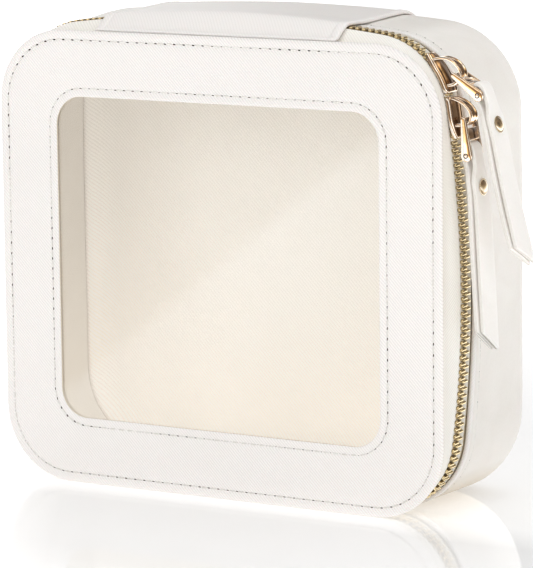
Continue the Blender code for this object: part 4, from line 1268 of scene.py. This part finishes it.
def slider_piece(spec):
    outer, inner = [], []
    for along in SLIDER_STATIONS:
        half = plate_half(along)
        from_end = (along + 8.75) / 0.8 if along < 0 else (8.75 - along) / 1.0
        from_end = min(1.0, from_end)
        # ends thin out and round off
        thick = 0.35 + 0.65 * math.sqrt(max(1 - (1 - from_end) ** 2, 0.0))
        narrow = half * 0.97
        for rings, profile, middle in (
                (outer, outer_plate_profile(narrow, half), 2.95),
                (inner, inner_plate_profile(3.2, narrow), -3.1)):
            rings.append([(along, across, middle + (out - middle) * thick)
                          for across, out in profile])
    post = [[(along, across, out) for along, across in POST] for out in (-2.7, 2.4)]
    mesh = bmesh.new()
    for rings in (outer, inner, post, arch_rings(spec)):
        solid(mesh, add_rows(mesh, [[spec.bend(*point) for point in ring] for ring in rings]))
    finish_object("slider_%s_cast" % spec.name, mesh, [SLIDER_GOLD], "slider_" + spec.name,
                  ("slider_" + spec.name,), angle=48)


for spec in SETS:
    slider_piece(spec)

# ======================================================================= pulls
RAIL_R_TOP, RAIL_R_LOW = 1.15, 2.5
RAIL_ACROSS = 5.0                        # rails lie this far in front and behind
# (height, inset) of a rail's outer face, softly domed
RAIL_DOME = [(0.0, 0.0), (0.22, 0.02), (0.40, 0.10), (0.52, 0.24), (0.62, 0.50),
             (0.72, 0.95), (0.79, 1.45), (0.82, 1.9)]
BRIDGE_HALF = 4.6
BRIDGE_ACROSS = [-4.6, -4.2, -3.6, -2.8, -1.8, -0.8, 0.0, 0.8, 1.8, 2.8, 3.6, 4.2, 4.6]


def side_frame(origin, tilt):
    """Frame (out, down, across) at origin's x and z; tilt swings it outwards."""
    angle = math.radians(tilt)
    out = Vector((math.cos(angle), 0, math.sin(angle)))
    down = Vector((math.sin(angle), 0, -math.cos(angle)))
    turn = Matrix((out, down, out.cross(down))).transposed().to_4x4()
    return Matrix.Translation(Vector((origin[0], HINGE_Y, origin[2]))) @ turn


def rail_outline(length, inset=0.0):
    """A tapered bar with a small round end on top and a larger one below;
    the small end shrinks in proportion so that domed faces stay even."""
    top, low = RAIL_R_TOP * (1 - inset / 2.6), RAIL_R_LOW - inset
    skew = math.asin((low - top) / length)
    outline = []
    for i in range(15):
        angle = math.pi + skew + (math.pi - 2 * skew) * i / 14
        outline.append((top * math.cos(angle), top * math.sin(angle)))
    for i in range(21):
        angle = -skew + (math.pi + 2 * skew) * i / 20
        outline.append((low * math.cos(angle), length + low * math.sin(angle)))
    return outline


def circle(down, radius, count=20):
    angles = [2 * math.pi * i / count for i in range(count)]
    return [(radius * math.cos(angle), down + radius * math.sin(angle)) for angle in angles]


def add_prism(mesh, place, levels, outline_at, mat=0):
    """A solid through levels of (across, inset)."""
    solid(mesh, add_rows(mesh, [[place @ Vector((out, down, across))
                                 for out, down in outline_at(inset)]
                                for across, inset in levels]), mat)


def add_pull_bridge(mesh, place, end):
    """The plate between the rails, crowned across and rolled at its lower lip."""
    rings = []
    for across in BRIDGE_ACROSS:
        crown = 0.42 * (1 - (across / BRIDGE_HALF) ** 2)
        crown -= 0.16 * math.exp(-((abs(across) - 2.3) / 0.45) ** 2)     # two grooves
        profile = [(-0.25, 3.75), (0.5, 3.6), (0.95 + crown * 0.5, 3.8), (1.15 + crown, 4.6),
                   (1.3 + crown, 6.2), (1.42 + crown, end - 1.0), (1.62 + crown, end - 0.45),
                   (1.55 + crown, end - 0.05), (1.2, end + 0.08), (0.5, end),
                   (0.1, end - 0.1)]
        rings.append([place @ Vector((out, down, across)) for out, down in profile])
    solid(mesh, add_rows(mesh, rings))


def pull_piece(spec):
    """Build the pull; returns the place of its strap bar."""
    length = spec.arm
    along, out = spec.pivot
    place = side_frame(spec.bend(along, 0.0, out), spec.pull_tilt)
    mesh = bmesh.new()
    for side in (-1, 1):
        middle = side * RAIL_ACROSS

        def levels(table):
            return [(middle + side * height, inset) for height, inset in table][::side]

        add_prism(mesh, place, levels([(-0.6, 0.3), (-0.55, 0.12), (-0.4, 0.0)] + RAIL_DOME),
                  lambda inset: rail_outline(length, inset))
        # end of the strap bar: a countersunk spot darkened with painted shade, with a small
        # bright head
        add_prism(mesh, place, levels([(0.5, 0.0), (0.83, 0.0), (0.86, 0.12)]),
                  lambda inset: circle(length, 1.15 - inset), mat=1)
        add_prism(mesh, place, levels([(0.6, 0.0), (0.9, 0.0), (1.0, 0.12), (1.05, 0.35)]),
                  lambda inset: circle(length, 0.7 - inset))
    # the pivot bar, a little thicker in the middle, and the strap bar
    add_prism(mesh, place, [(-5.2, 0.0), (-4.3, 0.0), (-2.6, -0.10), (0.0, -0.12),
                            (2.6, -0.10), (4.3, 0.0), (5.2, 0.0)],
              lambda inset: circle(0.0, 0.75 - inset))
    add_prism(mesh, place, [(-5.2, 0.0), (0.0, 0.0), (5.2, 0.0)],
              lambda inset: circle(length, 1.0))
    add_pull_bridge(mesh, place, end=length - 6.3)
    finish_object("pull_%s_stirrup" % spec.name, mesh, [SLIDER_GOLD, COUNTERSINK_SHADE],
                  "bail_" + spec.name, ("bail_" + spec.name,), angle=42)
    return place @ Vector((0, length, 0))


bars = [pull_piece(spec) for spec in SETS]

# ====================================================================== straps
STRAP_W, NECK_W, RIVET_DOWN = 13.6, 8.2, 13.5
END_SLANT = 8.8
# (down, half the distance between the two layers) below and near the bar
STRAP_SPREAD = [(48.0, 1.35), (32.0, 1.35), (20.0, 1.28), (16.0, 1.22), (10.5, 1.22),
                (6.6, 1.65), (3.4, 2.15)]
# (share of half width, height) over a quarter of the padded cross-section
STRAP_QUARTER = [(1.0, 0.0), (0.993, 0.38), (0.965, 0.66), (0.92, 0.85), (0.84, 0.97),
                 (0.72, 1.03), (0.5, 1.07), (0.25, 1.09)]
STRAP_HALF = (STRAP_QUARTER + [(0.0, 1.1)]
              + [(-share, height) for share, height in reversed(STRAP_QUARTER[1:])])
STRAP_CROSS = STRAP_HALF + [(-share, -height) for share, height in STRAP_HALF]


def gap_offset(gap, down):
    down = min(max(down, gap[0][0]), gap[-1][0])
    for (start, start_out), (end, end_out) in zip(gap, gap[1:]):
        if down <= end:
            return start_out + (end_out - start_out) * (down - start) / (end - start)


def strap_points(gap, strap_end):
    """Middle line (out, down at the front edge, down at the back edge) from the
    inner end, up over the bar in a loose loop, to the outer end."""
    front_end, back_end = strap_end
    stations = [(front_end, back_end, 1.2), (front_end - 3.0, front_end - 3.0 + END_SLANT, 1.25)]
    stations += [(down, down, spread) for down, spread in STRAP_SPREAD]
    inner = [(gap_offset(gap, down) - spread, down, far) for down, far, spread in stations]
    outer = [(gap_offset(gap, down) + spread, down, far) for down, far, spread in stations]
    loop = []
    for i in range(7):
        angle = math.pi * i / 6
        down = -4.6 * math.sin(angle)
        loop.append((-2.35 * math.cos(angle), down, down))
    return inner + loop + outer[::-1]


def catmull(points, per):
    """A Catmull-Rom curve; short spans get half as many points."""
    points = [Vector(point) for point in points]
    curve = []
    last = len(points) - 1
    for i in range(last):
        start, end = points[i], points[i + 1]
        # end tangents continue the last span
        before = points[i - 1] if i else start * 2 - end
        after = points[i + 2] if i < last - 1 else end * 2 - start
        count = per if (end - start).length > 4 else max(3, per // 2)
        for j in range(count):
            t = j / count
            curve.append(0.5 * ((2 * start) + (end - before) * t
                                + (2 * before - 5 * start + 4 * end - after) * (t * t)
                                + (3 * start - before - 3 * end + after) * (t * t * t)))
    curve.append(points[-1])
    return curve


def strap_piece(spec, bar):
    """Build the strap; returns the rivet's place and outward axis."""
    place = side_frame(bar, spec.strap_tilt)
    line = catmull(strap_points(spec.gap, spec.strap_end), 8)
    count = len(line)
    rings = []
    for i, point in enumerate(line):
        before, after = line[max(i - 1, 0)], line[min(i + 1, count - 1)]
        ahead = (after.xy - before.xy).normalized()
        normal = Vector((ahead.y, -ahead.x, 0))         # away from the loop's inside
        down = min(point.y, point.z)
        half = NECK_W / 2 + (STRAP_W - NECK_W) / 2 * smooth_step(clamp01((down - 3.3) / 8.0))
        thin = (0.45, 0.86, 1.0)[min(i, count - 1 - i, 2)]
        # soft leather is never dead flat: a slow cup and twist toward the free end
        free = clamp01((down - 20.0) / 60.0)
        # the outer layer lies a little further back
        lag = 0.7 * clamp01((down - 6.0) / 14.0) if i > count / 2 else 0.0
        ring = []
        for share, height in STRAP_CROSS:
            front = (1 + share) / 2                     # 1 on the front edge
            here = point.y * front + point.z * (1 - front)
            twist = noise.noise(Vector((here * 0.03, share * 0.7, spec.seed)))
            cup = -0.35 * free * (share * share - 0.4) + 0.22 * free * twist
            spot = Vector((point.x, here, -share * half + lag))
            spot += normal * (height * thin) + Vector((cup, 0, 0))
            ring.append(place @ spot)
        rings.append(ring)

    sides = len(STRAP_CROSS)
    following = STRAP_CROSS[1:] + STRAP_CROSS[:1]
    around = [0.0]
    for start, end in zip(STRAP_CROSS, following):
        around.append(around[-1] + math.hypot((start[0] - end[0]) * STRAP_W / 2,
                                              start[1] - end[1]))
    mesh = bmesh.new()
    rows = add_rows(mesh, rings)
    along = running_lengths([point.xy for point in line])
    for index, face in enumerate(bridge(mesh, rows, lengths=(around, along))):
        i = index % sides
        if abs((STRAP_CROSS[i][0] + following[i][0]) / 2) > 0.965:
            face.material_index = 1                     # painted edge
    for cap in (rows[0], rows[-1][::-1]):
        mesh.faces.new(cap).material_index = 1
    finish_object("strap_%s_fold" % spec.name, mesh, [STRAP_LEATHER, EDGE_PAINT],
                  "strap_" + spec.name, ("strap_" + spec.name,))
    centre = place @ Vector((gap_offset(spec.gap, RIVET_DOWN), RIVET_DOWN, 0))
    return centre, (place.to_3x3() @ Vector((1, 0, 0))).normalized()


rivets = [strap_piece(spec, bar) for spec, bar in zip(SETS, bars)]

# ====================================================================== rivets
# (radius, height along the axis) of the domed cap with its shank, and of the
# domed washer on the strap's inner side
RIVET_PROFILES = {
    "cap": [(0.0, 3.75), (0.5, 3.73), (1.0, 3.67), (1.5, 3.57), (2.0, 3.42), (2.45, 3.22),
            (2.8, 2.98), (3.02, 2.8), (3.1, 2.7), (3.2, 2.7), (3.4, 2.72), (3.55, 2.66),
            (3.6, 2.52), (3.55, 2.38), (3.35, 2.34), (1.25, 2.34), (1.2, 1.0), (1.2, -2.1),
            (0.0, -2.1)],
    "back": [(0.0, -2.36), (2.8, -2.36), (3.0, -2.42), (3.05, -2.52), (2.95, -2.66),
             (2.5, -2.8), (1.6, -2.94), (0.8, -3.02), (0.0, -3.05)]}
RIVET_STEPS = 40


def turned_piece(part, tag, centre, axis):
    """Turn a profile about the axis; it starts and ends on the axis."""
    mesh = bmesh.new()
    place = Matrix.Translation(centre * MM) @ axis.to_track_quat("Z", "Y").to_matrix().to_4x4()
    rows = []
    for radius, height in RIVET_PROFILES[part]:
        steps = RIVET_STEPS if radius else 1
        angles = [2 * math.pi * i / RIVET_STEPS for i in range(steps)]
        rows.append([mesh.verts.new(place @ (Vector((radius * math.cos(angle),
                                                     radius * math.sin(angle), height)) * MM))
                     for angle in angles])
    for first, second in zip(rows, rows[1:]):
        for i in range(RIVET_STEPS):
            j = (i + 1) % RIVET_STEPS
            if len(first) == 1:
                mesh.faces.new((first[0], second[i], second[j]))
            elif len(second) == 1:
                mesh.faces.new((first[i], second[0], first[j]))
            else:
                mesh.faces.new((first[i], second[i], second[j], first[j]))
    finish_object("rivet_%s_%s_domed" % (part, tag), mesh, [RIVET_GOLD], "strap_" + tag,
                  ("rivet_%s_%s" % (part, tag),), angle=45)


for spec, (centre, axis) in zip(SETS, rivets):
    for part in RIVET_PROFILES:
        turned_piece(part, spec.name, centre, axis)

# The zip's end stops keep their CAD shape and get a finish.
for name in ("end_stop_right_lid", "end_stop_left_lid", "end_stop_right_body",
             "end_stop_left_body"):
    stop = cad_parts[name]
    stop.data.materials.clear()
    stop.data.materials.append(TEETH_GOLD)


# ======================================================================= floor
def floor_material():
    """Glossy white that glows, dimmed in a patch in front of the case."""
    nodes = new_material("floor_white")
    place = nodes.coords("Object")
    ripple = nodes.noise(place, Scale=30.0, Detail=2.0)
    away = nodes.add("ShaderNodeVectorMath", {0: place}, operation="LENGTH").outputs["Value"]
    # the glow grows with distance, starting 0.16 m out
    far = nodes.times(nodes.minus(away, 0.16), 1.6, clamp=True)
    glow = nodes.plus(0.36, nodes.times(far, 0.5))
    # the patch: within 0.165 m of a slanted line, from y = -0.03 to -0.34
    axes = nodes.xyz(place)
    y = axes["Y"]
    aside = nodes.math("ABSOLUTE", nodes.plus(axes["X"], nodes.times(y, 0.59)))
    aside = nodes.times(nodes.minus(0.165, aside), 16.0, clamp=True)
    near = nodes.times(nodes.times(nodes.plus(y, 0.03), -30.0, clamp=True),
                       nodes.times(nodes.plus(y, 0.34), 5.0, clamp=True))
    dimming = nodes.times(nodes.times(near, aside), 0.27)
    glow = nodes.math("MAXIMUM", nodes.minus(glow, dimming), 0.0)
    return nodes.principled({
        "Base Color": (0.92, 0.92, 0.92, 1), "Specular IOR Level": 0.5, "IOR": 1.52,
        "Roughness": nodes.plus(0.04, nodes.times(ripple, 0.02)),
        "Emission Color": (1, 1, 1, 1), "Emission Strength": glow})


def add_floor():
    mesh = bmesh.new()
    bmesh.ops.create_grid(mesh, x_segments=8, y_segments=8, size=14.0)
    data = bpy.data.meshes.new("floor")
    mesh.to_mesh(data)
    mesh.free()
    floor = bpy.data.objects.new("floor", data)
    floor.location = (0, 0, -0.0002)
    bpy.context.scene.collection.objects.link(floor)
    data.materials.append(floor_material())


# ============================================================ world and lights
def add_world():
    """Even white light; glossy rays see soft dark and light bands instead."""
    world = bpy.data.worlds.new("studio")
    bpy.context.scene.world = world
    nodes = Nodes(world, "ShaderNodeOutputWorld")
    even = nodes.add("ShaderNodeBackground", {"Color": (1, 1, 1, 1), "Strength": 0.56})
    bands = nodes.wave(nodes.coords("Generated"),
                       {"Scale": 0.75, "Distortion": 2.0, "Detail": 1.0})
    cards = nodes.ramp(bands, [(0.30, (0.10, 0.09, 0.08)), (0.55, (1.1, 1.1, 1.1))])
    banded = nodes.add("ShaderNodeBackground", {"Color": cards, "Strength": 1.0})
    is_glossy = nodes.add("ShaderNodeLightPath").outputs["Is Glossy Ray"]
    nodes.done(nodes.add("ShaderNodeMixShader", {0: is_glossy, 1: even.outputs[0],
                                                 2: banded.outputs[0]}).outputs[0])


def add_area_light(name, location, target, size, power):
    """A rectangular light aimed at target; metres and watts."""
    data = bpy.data.lights.new(name, "AREA")
    data.shape = "RECTANGLE"
    data.size, data.size_y = size
    data.energy = power
    light = bpy.data.objects.new(name, data)
    light.location = location
    aim = Vector(target) - Vector(location)
    light.rotation_euler = aim.to_track_quat("-Z", "Y").to_euler()
    bpy.context.scene.collection.objects.link(light)


add_floor()
add_world()
add_area_light("key", location=(-0.2, -1.75, 0.52), target=(0, 0, 0.1), size=(1.2, 1.0),
               power=5.8)
add_area_light("right", location=(1.5, -0.4, 1.25), target=(0.05, 0, 0.1), size=(0.9, 1.0),
               power=4.7)
add_area_light("top", location=(0.1, 0.3, 1.6), target=(0, 0, 0.1), size=(1.2, 1.2),
               power=6.8)

# ====================================================================== camera
YAW, PITCH, ROLL = 0.534366153, 0.162613397, -0.0116029412       # radians
CAMERA_AT = Vector((792.431, -1335.684, 343.311))


def add_camera():
    """In front of the case and to its right, looking slightly down."""
    data = bpy.data.cameras.new("camera")
    camera = bpy.data.objects.new("camera", data)
    bpy.context.scene.collection.objects.link(camera)
    forward = Vector((-math.sin(YAW) * math.cos(PITCH), math.cos(YAW) * math.cos(PITCH),
                      -math.sin(PITCH)))
    level = Vector((math.cos(YAW), math.sin(YAW), 0))
    upright = level.cross(forward)
    right = level * math.cos(ROLL) + upright * math.sin(ROLL)
    above = upright * math.cos(ROLL) - level * math.sin(ROLL)
    place = Matrix((right, above, -forward)).transposed().to_4x4()
    place.translation = CAMERA_AT * MM
    camera.matrix_world = place
    data.sensor_width = 36.0
    data.lens = 226.964
    data.clip_end = 100.0
    bpy.context.scene.camera = camera


add_camera()
bpy.context.scene.view_settings.view_transform = "Standard"
bpy.context.scene.view_settings.look = "None"
